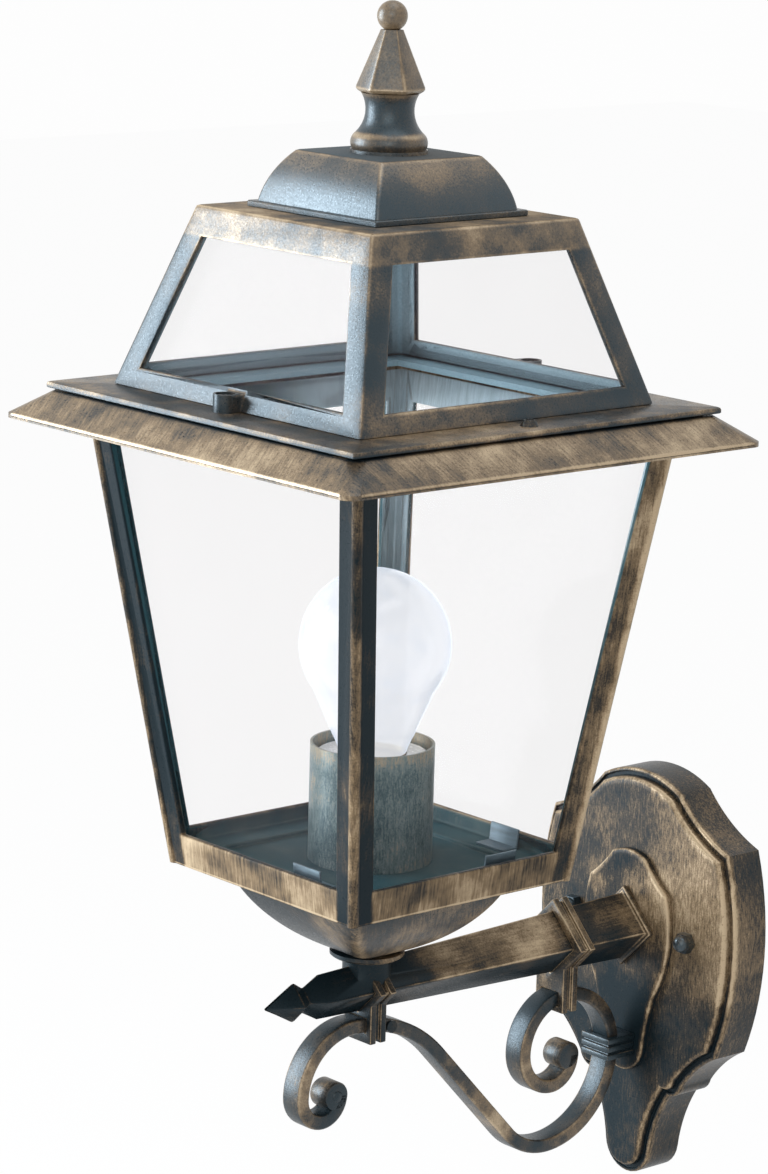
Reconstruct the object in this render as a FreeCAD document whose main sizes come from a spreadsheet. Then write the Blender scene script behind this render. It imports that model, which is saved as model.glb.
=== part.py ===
"""Square coach lantern on a scroll bracket, for an outdoor wall.

The frame has its origin on the wall plane, level with the arm's axis, with +Z up. The lamp stands out
along -Y, so a sketch on the XZ plane is lifted by its distance from the wall. Lengths are millimetres.
"""
import FreeCAD
import Part
import Sketcher
import math
import os
import re

# Driving dimensions: name, value, meaning
SIZES = (
    ("reach", 168.0, "lantern axis from the wall"),
    ("plate_deep", 18.0, "wall plate, wall to rim"),
    ("plate_wall", 3.0, "wall plate, side wall"),
    ("plate_skin", 3.0, "wall plate, rim to the hollow"),
    ("rim_bevel", 0.7, "wall plate, bevel of the rim's outer edge"),
    ("rim_wide", 1.5, "wall plate, rim outside the groove"),
    ("rim_groove", 1.2, "wall plate, depth of the groove"),
    ("panel_inset", 3.5, "panel edge inside the rim"),
    ("panel_rise", 3.0, "panel above the rim"),
    ("panel_bevel", 1.2, "bevel round the panel"),
    ("crown_z", 66.7, "wall plate, top of the arch"),
    ("arch_x", 23.0, "wall plate, end of the arch"),
    ("arch_z", 60.7, "wall plate, end of the arch"),
    ("neck_x", 35.5, "wall plate, hollow shoulder"),
    ("neck_z", 49.3, "wall plate, hollow shoulder"),
    ("shoulder_x", 52.3, "wall plate, shoulder corner"),
    ("shoulder_z", 40.7, "wall plate, shoulder corner"),
    ("side_x", 58.7, "wall plate, widest half"),
    ("hip_x", 49.6, "wall plate, hip corner"),
    ("hip_z", 47.7, "wall plate, hip corner below the axis"),
    ("flank_x", 39.2, "wall plate, hollow flank"),
    ("flank_z", 55.3, "wall plate, hollow flank below the axis"),
    ("knee_x", 31.0, "wall plate, start of the knee"),
    ("knee_z", 65.0, "wall plate, start of the knee below the axis"),
    ("calf_x", 28.4, "wall plate, middle of the knee"),
    ("calf_z", 69.2, "wall plate, middle of the knee below the axis"),
    ("ankle_x", 23.5, "wall plate, end of the knee"),
    ("ankle_z", 71.0, "wall plate, end of the knee below the axis"),
    ("tongue_x", 17.0, "wall plate, hollow side of the tongue"),
    ("tongue_z", 84.0, "wall plate, hollow side of the tongue below the axis"),
    ("toe_x", 13.2, "wall plate, start of the round toe"),
    ("toe_z", 99.5, "wall plate, start of the round toe below the axis"),
    ("tip_z", 111.3, "wall plate, lowest point below the axis"),
    ("plaque_thick", 3.0, "plaque thickness"),
    ("plaque_bevel", 0.9, "bevel round the plaque"),
    ("plaque_crown", 33.0, "plaque, top of the arch"),
    ("plaque_arch_x", 10.0, "plaque, end of the arch"),
    ("plaque_arch_z", 30.3, "plaque, end of the arch"),
    ("plaque_neck_x", 15.6, "plaque, hollow shoulder"),
    ("plaque_neck_z", 23.8, "plaque, hollow shoulder"),
    ("plaque_shoulder_x", 22.8, "plaque, shoulder corner"),
    ("plaque_shoulder_z", 17.5, "plaque, shoulder corner"),
    ("plaque_side", 25.5, "plaque, widest half"),
    ("plaque_hip_x", 17.7, "plaque, hip"),
    ("plaque_hip_z", 27.9, "plaque, hip below the axis"),
    ("plaque_waist_x", 14.6, "plaque, hollow side"),
    ("plaque_waist_z", 38.5, "plaque, hollow side below the axis"),
    ("plaque_toe_x", 12.3, "plaque, start of the round toe"),
    ("plaque_toe_z", 53.0, "plaque, start of the round toe below the axis"),
    ("plaque_tip", 64.0, "plaque, lowest point below the axis"),
    ("strap_half", 42.0, "mounting strap, half length"),
    ("strap_wide", 18.0, "mounting strap, width"),
    ("strap_thick", 2.0, "mounting strap, thickness"),
    ("wall_screw_gap", 44.0, "wall screw holes, centre to centre"),
    ("wall_screw_hole", 2.6, "wall screw holes, radius"),
    ("cable_hole", 8.0, "mounting strap, cable hole radius"),
    ("stud_x", 34.0, "strap studs from the middle"),
    ("stud_r", 2.0, "strap stud radius"),
    ("hole_play", 0.2, "play of a screw or stud in its clearance hole"),
    ("nut_flat", 4.0, "acorn nut, half across the flats"),
    ("nut_tall", 3.6, "acorn nut, height of the hexagon"),
    ("dome_r", 3.7, "acorn nut, dome radius"),
    ("wire_r", 3.5, "wire way through the arm"),
    ("grommet_r", 5.0, "grommet, radius in the panel"),
    ("grommet_lip", 5.7, "grommet, lip radius"),
    ("grommet_lip_thick", 1.5, "grommet, lip thickness"),
    ("block_long", 26.0, "terminal block, length"),
    ("block_deep", 11.0, "terminal block, depth"),
    ("block_tall", 14.0, "terminal block, height"),
    ("block_z", 20.0, "terminal block, underside above the axis"),
    ("arm_screw_x", 9.5, "arm screws from the middle"),
    ("arm_screw_r", 2.0, "arm screw radius"),
    ("arm_screw_head", 3.6, "arm screw head radius"),
    ("arm_screw_head_tall", 2.6, "arm screw head height"),
    ("arm_screw_grip", 11.0, "arm screw length in the arm"),
    ("foot_half", 17.3, "arm foot, half diagonal"),
    ("foot_thick", 2.6, "arm foot, thickness"),
    ("bar_root", 14.7, "arm bar, half diagonal at the wall"),
    ("bar_end", 9.5, "arm bar, half diagonal at its front end"),
    ("bar_ahead", 25.5, "arm bar, front end beyond the lantern axis"),
    ("pinch_half", 5.3, "spear neck, half diagonal"),
    ("pinch_long", 7.8, "spear neck, length of the taper"),
    ("barb_half", 8.4, "spear head, half diagonal"),
    ("barb_long", 4.7, "spear head, back slope"),
    ("spear_long", 14.0, "spear head, barb to point"),
    ("spear_flat", 0.5, "spear point, half diagonal"),
    ("boss_r", 9.8, "arm boss radius"),
    ("boss_top", 12.4, "arm boss, top above the arm axis"),
    ("boss_root", 2.0, "arm boss, start below the arm axis"),
    ("bar_wide", 10.5, "scroll bar width"),
    ("bar_thick", 5.8, "scroll bar thickness"),
    ("button_r", 5.9, "scroll, round end radius"),
    ("pip_r", 2.3, "scroll, pip on the front end"),
    ("pip_rise", 0.6, "scroll, pip height"),
    ("crest_ahead", 9.2, "scroll, front crest beyond the lantern axis"),
    ("crest_drop", 14.6, "scroll, front crest below the arm axis"),
    ("loop_drop", 23.1, "scroll, rear crest below the arm axis"),
    ("curl_in", 9.5, "scroll, front curl inner radius"),
    ("curl_under", 10.6, "scroll, front curl lower radius"),
    ("curl_over", 26.0, "scroll, front curl upper radius"),
    ("sweep_r", 62.0, "scroll, long sweep radius"),
    ("sweep_turn", 47.0, "scroll, slope of the long sweep in degrees"),
    ("dip_r", 30.0, "scroll, low bend radius"),
    ("loop_back", 27.8, "scroll, rear loop radius towards the wall"),
    ("loop_front", 22.5, "scroll, rear loop radius away from the wall"),
    ("loop_under", 16.0, "scroll, rear loop lower radius"),
    ("loop_in", 11.5, "scroll, rear loop inner radius"),
    ("collar_bead", 3.0, "collar, thickness of a bead"),
    ("collar_gap", 2.2, "collar, groove between the beads"),
    ("collar_relief", 1.2, "collar, depth of the groove"),
    ("collar_half", 8.3, "collar, half width round the scroll"),
    ("collar_under", 3.4, "collar, wall below the scroll"),
    ("front_collar_half", 14.3, "front collar, half diagonal"),
    ("front_collar_crop", 8.0, "front collar, half width where it dies into the boss"),
    ("rear_collar_half", 18.5, "rear collar, half diagonal"),
    ("rear_collar_back", 1.8, "rear collar, beyond the rear crest"),
    ("clasp_back", 6.3, "wall collar, plaque to the scroll"),
    ("clasp_front", 3.2, "wall collar, wall in front of the scroll"),
    ("clasp_half", 8.2, "wall collar, half width"),
    ("clasp_rib", 2.4, "wall collar, height of a rib"),
    ("clasp_gap", 1.1, "wall collar, groove between the ribs"),
    ("clasp_relief", 0.9, "wall collar, depth of the groove"),
    ("rivet_ahead", 9.0, "scroll rivet, behind the lantern axis"),
    ("rivet_r", 1.5, "scroll rivet, shank radius"),
    ("rivet_head", 2.6, "scroll rivet, head radius"),
    ("rivet_rise", 1.1, "scroll rivet, head height"),
    ("disc_r", 15.0, "neck disc radius"),
    ("disc_thick", 2.9, "neck disc thickness"),
    ("disc_flat", 11.5, "neck disc, flat radius below"),
    ("bowl_top", 41.8, "bottom bowl, half width at the top"),
    ("bowl_belly", 32.9, "bottom bowl, half width at mid height"),
    ("bowl_foot", 10.5, "bottom bowl, half width at the foot"),
    ("bowl_tall", 32.4, "bottom bowl, height"),
    ("bowl_round", 5.0, "bottom bowl, radius of the corners"),
    ("bowl_lip", 4.0, "bottom bowl, wall at the top"),
    ("bowl_well", 22.0, "bottom bowl, depth of the hollow"),
    ("bowl_well_foot", 13.0, "bottom bowl, half width of the hollow's floor"),
    ("tube_r", 5.0, "threaded tube radius"),
    ("tube_bore", 3.5, "threaded tube bore"),
    ("tube_sunk", 11.0, "threaded tube, depth in the boss"),
    ("tube_above", 12.0, "threaded tube, above the lantern floor"),
    ("tube_nut_flat", 7.0, "tube nut, half across the flats"),
    ("tube_nut_tall", 4.5, "tube nut height"),
    ("cage_low", 56.0, "cage, half width at the foot"),
    ("cage_high", 81.5, "cage, half width under the eave"),
    ("cage_tall", 185.6, "cage, height under the eave"),
    ("cage_wall", 3.0, "cage, wall"),
    ("floor_thick", 7.5, "cage, ledge along the sides of the floor"),
    ("pan_half", 41.0, "cage, half width of the pan inside the ledge"),
    ("pan_deep", 2.0, "cage, depth of the pan"),
    ("floor_skin", 2.5, "cage, thickness under the pan"),
    ("floor_recess", 36.0, "cage, half width of the recess under the floor"),
    ("post_face", 10.3, "cage, face of a corner post"),
    ("rail_tall", 13.2, "cage, bottom rail"),
    ("lintel_tall", 14.0, "cage, top rail"),
    ("bead_r", 2.2, "cage, corner bead radius"),
    ("bead_in", 1.2, "cage, corner bead axis inside the corner"),
    ("eave_skin", 3.0, "cage, eave thickness"),
    ("skirt_top", 92.1, "skirt, half width at the top"),
    ("skirt_half", 105.0, "skirt, half width at the lower edge"),
    ("skirt_drop", 9.6, "skirt, top to the lower edge"),
    ("skirt_lip", 1.8, "skirt, height of the lip"),
    ("skirt_round", 6.0, "skirt, radius of the corners"),
    ("skirt_wall", 2.6, "skirt, wall"),
    ("seat_half", 88.0, "eave seat, half width"),
    ("seat_rise", 0.8, "eave seat, height of the shadow gap"),
    ("eave_half", 92.9, "eave plate, half width"),
    ("eave_open", 61.0, "eave plate, half width of the opening"),
    ("eave_thick", 2.4, "eave plate thickness"),
    ("eave_round", 0.9, "eave plate, rounded edge"),
    ("eave_screw_x", 84.0, "eave screws from the lantern axis"),
    ("screw_r", 1.7, "small screw radius"),
    ("screw_head", 3.6, "small screw head radius"),
    ("screw_head_tall", 2.3, "small screw head height"),
    ("eave_screw_long", 9.0, "eave screw length"),
    ("roof_low", 74.4, "roof frame, half width at the foot"),
    ("roof_high", 52.2, "roof frame, half width at the top"),
    ("roof_tall", 71.1, "roof frame height"),
    ("roof_wall", 3.0, "roof frame, wall"),
    ("roof_skin", 3.0, "roof frame, top plate"),
    ("roof_bar", 11.4, "roof frame, face of a hip bar"),
    ("roof_sill", 7.8, "roof frame, bottom rail"),
    ("roof_head", 11.6, "roof frame, top rail"),
    ("lug_r", 4.6, "roof lug, nose radius"),
    ("lug_out", 3.4, "roof lug, nose centre beyond the roof foot"),
    ("lug_tall", 7.0, "roof lug height"),
    ("lug_sink", 2.9, "roof lug, depth of the screw's seat"),
    ("roof_screw_long", 6.5, "roof screw, length under the head"),
    ("glass", 3.0, "glass thickness"),
    ("glass_lap", 4.0, "glass, lap behind the frame"),
    ("pane_clear", 1.0, "glass, clearance at the top"),
    ("clip_x", 23.0, "pane clips from the middle of a side"),
    ("clip_wide", 16.0, "pane clip width"),
    ("clip_tall", 15.6, "pane clip, top above the lantern foot"),
    ("clip_foot", 7.0, "pane clip, length of the foot"),
    ("clip_thick", 1.0, "pane clip thickness"),
    ("cap_flange", 38.4, "roof cap, half width of the flange"),
    ("cap_flange_thick", 2.4, "roof cap, flange thickness"),
    ("cap_low", 35.8, "roof cap, half width at the foot"),
    ("cap_belly", 32.5, "roof cap, half width midway up the bowed sides"),
    ("cap_high", 24.9, "roof cap, half width at the top"),
    ("cap_tall", 22.5, "roof cap height"),
    ("cap_wall", 2.5, "roof cap wall"),
    ("washer_r", 15.0, "finial washer radius"),
    ("washer_thick", 1.3, "finial washer thickness"),
    ("finial_base", 14.2, "finial, radius of the foot"),
    ("finial_bulge", 14.9, "finial, widest radius of the foot"),
    ("finial_bulge_z", 3.0, "finial, height of the widest point"),
    ("finial_brow", 13.0, "finial, top of the foot"),
    ("finial_brow_z", 6.3, "finial, height of the foot"),
    ("finial_waist", 9.5, "finial, waist radius"),
    ("finial_waist_z", 13.5, "finial, height of the waist"),
    ("finial_flare", 11.2, "finial, radius under the cone"),
    ("finial_flare_z", 21.4, "finial, height of the flare"),
    ("cone_low", 11.6, "finial cone, corner radius underneath"),
    ("cone_half", 13.8, "finial cone, widest corner radius"),
    ("cone_half_z", 23.4, "finial cone, height of the widest corner"),
    ("cone_top", 4.4, "finial cone, corner radius at the top"),
    ("cone_top_z", 45.4, "finial cone, height of the top"),
    ("cone_turn", 44.0, "finial cone, turn of a corner in degrees"),
    ("ball_r", 5.9, "finial ball radius"),
    ("ball_z", 50.6, "finial ball height"),
    ("rod_r", 3.0, "finial stud radius"),
    ("rod_up", 15.0, "finial stud, depth in the finial"),
    ("rod_down", 7.0, "finial stud, length under the roof plate"),
    ("rod_nut_flat", 5.0, "finial nut, half across the flats"),
    ("rod_nut_tall", 5.0, "finial nut height"),
    ("sleeve_r", 24.7, "holder sleeve radius"),
    ("sleeve_wall", 1.0, "holder sleeve wall"),
    ("sleeve_tall", 47.3, "holder sleeve height"),
    ("holder_r", 18.5, "lampholder radius"),
    ("holder_tall", 37.8, "lampholder height"),
    ("holder_rim", 21.6, "lampholder rim radius"),
    ("holder_rim_tall", 4.0, "lampholder rim height"),
    ("holder_bore", 13.6, "lampholder bore"),
    ("holder_floor", 7.5, "lampholder floor"),
    ("bulb_tip", 4.5, "bulb, contact radius"),
    ("bulb_cap", 13.2, "bulb, screw cap radius"),
    ("bulb_cap_low", 4.5, "bulb, foot of the screw cap"),
    ("bulb_cap_tall", 30.6, "bulb, top of the screw cap"),
    ("bulb_neck", 14.6, "bulb, neck radius"),
    ("bulb_neck_z", 32.2, "bulb, height of the neck"),
    ("bulb_shoulder", 24.3, "bulb, where the neck meets the globe"),
    ("bulb_r", 30.2, "bulb, globe radius"),
    ("bulb_r_z", 74.0, "bulb, height of the globe's middle"),
)

TOUCH = 1e-6
DOC = FreeCAD.newDocument("WallLantern")
SHEET = DOC.addObject("Spreadsheet::Sheet", "Sizes")
CELLS = {name: "Sizes." + name for name, _, _ in SIZES}
SUB_PARTS = []

# Places that follow from the driving dimensions
HOLLOW_DEEP = "(plate_deep - plate_skin)"
PANEL_FRONT = "(plate_deep + panel_rise)"
PLAQUE_FRONT = "(plate_deep + panel_rise + plaque_thick)"
BAR_ROOT_AT = "(plate_deep + panel_rise + plaque_thick + foot_thick)"
LANTERN_FOOT = "(boss_top + disc_thick + bowl_tall)"
FLOOR_AT = "(floor_thick - pan_deep)"
CAGE_TOP = "(cage_tall + eave_skin)"
EAVE_FOOT = "(cage_tall + eave_skin + seat_rise)"
ROOF_FOOT = "(cage_tall + eave_skin + seat_rise + eave_thick)"
ROOF_TOP = f"({ROOF_FOOT} + roof_tall)"
CAP_TOP = f"({ROOF_TOP} + cap_tall)"
FINIAL_FOOT = f"({CAP_TOP} + washer_thick)"
LUG_AT = "(roof_low + lug_out)"
UPRIGHT_AT = "(plate_deep + panel_rise + plaque_thick + clasp_back + bar_thick / 2)"
SCREW_HOLE = "(screw_r + hole_play)"


def fill_sheet():
    """Write every driving dimension into its own named cell."""
    for row, (name, size, meaning) in enumerate(SIZES, start=1):
        SHEET.set(f"A{row}", name)
        SHEET.set(f"B{row}", str(size))
        SHEET.setAlias(f"B{row}", name)
        SHEET.set(f"C{row}", meaning)
    DOC.recompute()


def cells(text):
    """Point each size that an expression names at its cell."""
    return re.sub(r"[a-z]\w*", lambda word: CELLS.get(word.group(), word.group()), text)


def value(text):
    """Work an expression out."""
    return float(SHEET.evalExpression(cells(text)))


def cage_at(height):
    """Half width of the cage's outer face at a height."""
    return f"(cage_low + (cage_high - cage_low) * ({height}) / cage_tall)"


def roof_at(height):
    """Half width of the roof's outer face at a height above the roof's foot."""
    return f"(roof_low - (roof_low - roof_high) * ({height}) / roof_tall)"


def new_body(label, out="0", up="0"):
    """Start a sub-part, placed a distance out from the wall and up from the arm's axis."""
    body = DOC.addObject("PartDesign::Body", label)
    body.Label = label
    body.setExpression("Placement.Base.y", cells(f"-({out})"))
    body.setExpression("Placement.Base.z", cells(up))
    return body


def keep(piece):
    """Put a finished sub-part on the list of files."""
    SUB_PARTS.append(piece)
    return piece


def origin(body, role):
    """Find one of a body's own axes or planes."""
    return next(item for item in body.Origin.OriginFeatures if item.Role == role)


def sketch_on(body, plane, lift="0"):
    """Start a sketch on one of the body's own planes, lifted along its normal."""
    sketch = body.newObject("Sketcher::SketchObject", body.Name + "_sketch")
    sketch.AttachmentSupport = [(origin(body, plane), "")]
    sketch.MapMode = "FlatFace"
    sketch.setExpression("AttachmentOffset.Base.z", cells(lift))
    return sketch


def bind(sketch, constraint, text):
    """Add a dimension to a sketch and tie it to the sheet."""
    number = sketch.addConstraint(constraint)
    sketch.setExpression(f"Constraints[{number}]", cells(text))


def pin(sketch, item, end, across, along):
    """Tie a point of the sketch to its place from the sketch's origin."""
    bind(sketch, Sketcher.Constraint("DistanceX", -1, 1, item, end, value(across)), across)
    bind(sketch, Sketcher.Constraint("DistanceY", -1, 1, item, end, value(along)), along)


def point(pair):
    """A sketch point from a pair of expressions."""
    return FreeCAD.Vector(value(pair[0]), value(pair[1]), 0)


def outline(sketch, corners):
    """Close an outline; a corner's third entry is a point that bows the side to the next corner."""
    sides = []
    for number, corner in enumerate(corners):
        start = point(corner)
        finish = point(corners[(number + 1) % len(corners)])
        if len(corner) == 2:
            sides.append((sketch.addGeometry(Part.LineSegment(start, finish)), 1, 2))
            continue
        side = sketch.addGeometry(Part.Arc(start, point(corner[2]), finish))
        turned = sketch.getPoint(side, 1).distanceToPoint(start) > TOUCH
        sides.append((side, 2, 1) if turned else (side, 1, 2))
        bow = sketch.addGeometry(Part.Point(point(corner[2])), True)
        pin(sketch, bow, 1, *corner[2])
        sketch.addConstraint(Sketcher.Constraint("PointOnObject", bow, 1, side))
    for number, (side, first, last) in enumerate(sides):
        following, start, _ = sides[(number + 1) % len(sides)]
        sketch.addConstraint(Sketcher.Constraint("Coincident", side, last, following, start))
        pin(sketch, side, first, corners[number][0], corners[number][1])
    return sketch


def box_outline(sketch, left, right, low, high):
    """A rectangle between four expressions."""
    return outline(sketch, [(left, low), (right, low), (right, high), (left, high)])


def square(sketch, half):
    """A square about the sketch's origin."""
    return box_outline(sketch, f"-({half})", half, f"-({half})", half)


def soft_square(sketch, half, radius):
    """A square about the sketch's origin with rounded corners."""
    flat = f"({half} - ({radius}))"
    bow = f"({flat} + ({radius}) * cos(45 deg))"
    return outline(sketch, [
        (half, f"-{flat}"), (half, flat, (bow, bow)),
        (flat, half), (f"-{flat}", half, (f"-{bow}", bow)),
        (f"-({half})", flat), (f"-({half})", f"-{flat}", (f"-{bow}", f"-{bow}")),
        (f"-{flat}", f"-({half})"), (flat, f"-({half})", (bow, f"-{bow}"))])


def diamond(sketch, half):
    """A square on its corner about the sketch's origin."""
    return outline(sketch, [(half, "0"), ("0", half), (f"-({half})", "0"), ("0", f"-({half})")])


def hexagon(sketch, corner_radius, turn="0", across="0", along="0"):
    """A hexagon with one corner at an angle in degrees."""
    corners = []
    for step in range(6):
        angle = f"(({turn}) + 60 * {step}) * 1 deg"
        corners.append((f"{across} + ({corner_radius}) * cos({angle})",
                        f"{along} + ({corner_radius}) * sin({angle})"))
    return outline(sketch, corners)


def disc(sketch, radius, across="0", along="0"):
    """A circle in a sketch."""
    centre = point((across, along))
    ring = sketch.addGeometry(Part.Circle(centre, FreeCAD.Vector(0, 0, 1), value(radius)))
    bind(sketch, Sketcher.Constraint("Radius", ring, value(radius)), radius)
    pin(sketch, ring, 3, across, along)
    return sketch


def pad(body, sketch, length, back=False, both=False):
    """Raise a sketch into a solid along its normal, against it or both ways."""
    feature = body.newObject("PartDesign::Pad", body.Name + "_pad")
    feature.Profile = sketch
    feature.setExpression("Length", cells(length))
    feature.Reversed = back
    feature.SideType = "Symmetric" if both else "One side"
    DOC.recompute()
    return feature


def pocket(body, sketch, length="", ahead=False, both=False):
    """Sink a sketch into the solid against its normal, along it or both ways; no length goes right through."""
    before = body.Shape.Volume
    feature = body.newObject("PartDesign::Pocket", body.Name + "_pocket")
    feature.Profile = sketch
    if length:
        feature.setExpression("Length", cells(length))
    else:
        feature.Type = "ThroughAll"
    feature.Reversed = ahead
    feature.SideType = "Symmetric" if both else "One side"
    DOC.recompute()
    if body.Shape.Volume > before - TOUCH:
        raise RuntimeError(f"a pocket in {body.Label} cuts nothing")
    return feature


def loft(body, sketches, hollow=False):
    """Run straight faces through a row of sketches, as a solid or as a hollow."""
    kind = "SubtractiveLoft" if hollow else "AdditiveLoft"
    feature = body.newObject("PartDesign::" + kind, body.Name + "_loft")
    feature.Profile = sketches[0]
    feature.Sections = sketches[1:]
    feature.Ruled = True
    DOC.recompute()
    return feature


def revolve(body, sketch, axis="V_Axis"):
    """Turn a sketch about its own upright axis or a line drawn in it."""
    feature = body.newObject("PartDesign::Revolution", body.Name + "_turned")
    feature.Profile = sketch
    feature.ReferenceAxis = (sketch, [axis])
    feature.Angle = 360
    DOC.recompute()
    return feature


def turning_line(sketch, across=None, along=None):
    """Draw the line that a revolve turns about, upright at a place across or level at a place along."""
    span = "10"
    ends = ((across, "0"), (across, span)) if along is None else (("0", along), (span, along))
    line = sketch.addGeometry(Part.LineSegment(point(ends[0]), point(ends[1])), True)
    pin(sketch, line, 1, *ends[0])
    pin(sketch, line, 2, *ends[1])
    return "Axis0"


def edge_names(body, test):
    """Names of the edges of a body's last feature that pass a test."""
    edges = body.Tip.Shape.Edges
    return [f"Edge{number}" for number, edge in enumerate(edges, start=1) if test(edge)]


def edges_up_at(body, height, least_half):
    """Names of the edges at a height whose ends are all at least a half width from the axis."""
    at = value(height)
    reach = value(least_half) - TOUCH

    def passes(edge):
        spots = [v.Point for v in edge.Vertexes]
        level = all(abs(spot.z - at) < TOUCH for spot in spots)
        return level and all(max(abs(spot.x), abs(spot.y)) > reach for spot in spots)

    return edge_names(body, passes)


def corner_edges(body):
    """Names of the edges that climb the four corners of a square body."""
    def passes(edge):
        spots = [v.Point for v in edge.Vertexes]
        at_corner = all(abs(abs(spot.x) - abs(spot.y)) < TOUCH for spot in spots)
        return at_corner and abs(spots[0].z - spots[-1].z) > TOUCH

    return edge_names(body, passes)


def dress_edges(body, kind, names, size):
    """Round or bevel named edges of the body's last feature."""
    feature = body.newObject("PartDesign::" + kind, body.Name + "_edges")
    feature.Base = (feature.BaseFeature, names)
    feature.setExpression("Radius" if kind == "Fillet" else "Size", cells(size))
    DOC.recompute()
    return feature


def repeat_round(body, features, count):
    """Repeat features evenly about the body's upright axis."""
    pattern = body.newObject("PartDesign::PolarPattern", body.Name + "_round")
    pattern.Originals = features
    pattern.Axis = (origin(body, "Z_Axis"), [""])
    pattern.Angle = 360
    pattern.Occurrences = count
    body.Tip = pattern
    DOC.recompute()
    return pattern


def mirror(body, features, plane):
    """Repeat features on the other side of one of the body's own planes."""
    twin = body.newObject("PartDesign::Mirrored", body.Name + "_twin")
    twin.Originals = features
    twin.MirrorPlane = (origin(body, plane), [""])
    body.Tip = twin
    DOC.recompute()
    return twin


def cut(label, base, tool):
    """Take one piece's shape out of another."""
    feature = DOC.addObject("Part::Cut", label)
    feature.Label = label
    feature.Base = base
    feature.Tool = tool
    DOC.recompute()
    return feature


def shield(sketch, right_side, crown, tip, inset="0"):
    """Close a shield: corners of its right side from the top, each with its bow and the ways out of both."""

    def inside(place, side=1):
        across, along, out_x, out_z = place
        return f"{side} * ({across} - ({inset}) * {out_x})", f"{along} - ({inset}) * {out_z}"

    corners = []
    for corner, bow in right_side[:-1]:
        corners.append((*inside(corner), inside(bow)))
    toe = right_side[-1][0]
    corners.append((*inside(toe), ("0", f"-({tip}) + ({inset})")))
    left = [inside(corner, -1) for corner, _ in reversed(right_side)]
    bows = [inside(bow, -1) for _, bow in reversed(right_side[:-1])]
    bows.append(("0", f"{crown} - ({inset})"))
    corners.extend((*corner, bow) for corner, bow in zip(left, bows))
    return outline(sketch, corners)


def plate_outline(sketch, inset="0"):
    """The wall plate's shield, or a line inside it."""
    right_side = (
        (("arch_x", "arch_z", 0.65, 0.79), ("neck_x", "neck_z", 0.58, 0.82)),
        (("shoulder_x", "shoulder_z", 0.8, 0.78), ("side_x", "0", 1, 0)),
        (("hip_x", "-hip_z", 0.8, -0.7), ("flank_x", "-flank_z", 0.68, -0.73)),
        (("knee_x", "-knee_z", 0.93, -0.4), ("calf_x", "-calf_z", 0.64, -0.77)),
        (("ankle_x", "-ankle_z", 0.55, -0.99), ("tongue_x", "-tongue_z", 0.94, -0.35)),
        (("toe_x", "-toe_z", 0.99, -0.12), None),
    )
    return shield(sketch, right_side, "crown_z", "tip_z", inset)


def plaque_outline(sketch, inset="0"):
    """The plaque's smaller shield, or a line inside it."""
    right_side = (
        (("plaque_arch_x", "plaque_arch_z", 0.68, 0.76), ("plaque_neck_x", "plaque_neck_z", 0.71, 0.7)),
        (("plaque_shoulder_x", "plaque_shoulder_z", 0.85, 0.61), ("plaque_side", "0", 1, 0)),
        (("plaque_hip_x", "-plaque_hip_z", 0.91, -0.43), ("plaque_waist_x", "-plaque_waist_z", 0.97, -0.23)),
        (("plaque_toe_x", "-plaque_toe_z", 0.99, -0.1), None),
    )
    return shield(sketch, right_side, "plaque_crown", "plaque_tip", inset)


def bevelled_shield(body, draw, start, front, bevel, inset="0"):
    """A shield-shaped slab from one distance off the wall to another, with a bevel round its front edge."""
    shoulder = f"({front} - {bevel})"
    pad(body, draw(sketch_on(body, "XZ_Plane", start), inset), f"{shoulder} - ({start})")
    loft(body, [draw(sketch_on(body, "XZ_Plane", shoulder), inset),
                draw(sketch_on(body, "XZ_Plane", front), f"{inset} + {bevel}")])


def pair_of_discs(sketch, radius, across):
    """Two circles either side of the sketch's upright axis."""
    disc(sketch, radius, across)
    disc(sketch, radius, f"-({across})")
    return sketch


def wall_plate():
    """Shield-shaped casting with a grooved rim, a raised bevelled panel and a hollow back."""
    body = new_body("wall_plate")
    bevelled_shield(body, plate_outline, "0", "plate_deep", "rim_bevel")
    pocket(body, plate_outline(sketch_on(body, "XZ_Plane", "plate_deep"), "rim_wide"), "rim_groove")
    bevelled_shield(body, plate_outline, "plate_deep - rim_groove", PANEL_FRONT, "panel_bevel", "panel_inset")
    pocket(body, plate_outline(sketch_on(body, "XZ_Plane"), "plate_wall"), HOLLOW_DEEP, ahead=True)
    holes = sketch_on(body, "XZ_Plane")
    disc(holes, "grommet_r")
    pair_of_discs(holes, "arm_screw_r + hole_play", "arm_screw_x")
    pair_of_discs(holes, "stud_r + hole_play", "stud_x")
    pocket(body, holes, ahead=True)
    return keep(body)


def plaque():
    """Small shield under the arm's foot."""
    body = new_body("plaque")
    bevelled_shield(body, plaque_outline, PANEL_FRONT, PLAQUE_FRONT, "plaque_bevel")
    holes = sketch_on(body, "XZ_Plane")
    disc(holes, "wire_r")
    pair_of_discs(holes, "arm_screw_r + hole_play", "arm_screw_x")
    pocket(body, holes, ahead=True)
    return keep(body)


def mounting_strap():
    """Flat strap on the wall with the wall screw holes, the stud holes and the cable hole."""
    body = new_body("mounting_strap")
    flat = sketch_on(body, "XZ_Plane")
    box_outline(flat, "-strap_half", "strap_half", "-strap_wide / 2", "strap_wide / 2")
    disc(flat, "cable_hole")
    pair_of_discs(flat, "wall_screw_hole", "wall_screw_gap / 2")
    pair_of_discs(flat, "stud_r", "stud_x")
    pad(body, flat, "strap_thick")
    return keep(body)


def strap_studs():
    """Two studs that stand out of the strap through the wall plate."""
    body = new_body("strap_studs")
    length = f"{PANEL_FRONT} + nut_tall"
    pad(body, pair_of_discs(sketch_on(body, "XZ_Plane"), "stud_r", "stud_x"), length)
    return keep(body)


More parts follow.
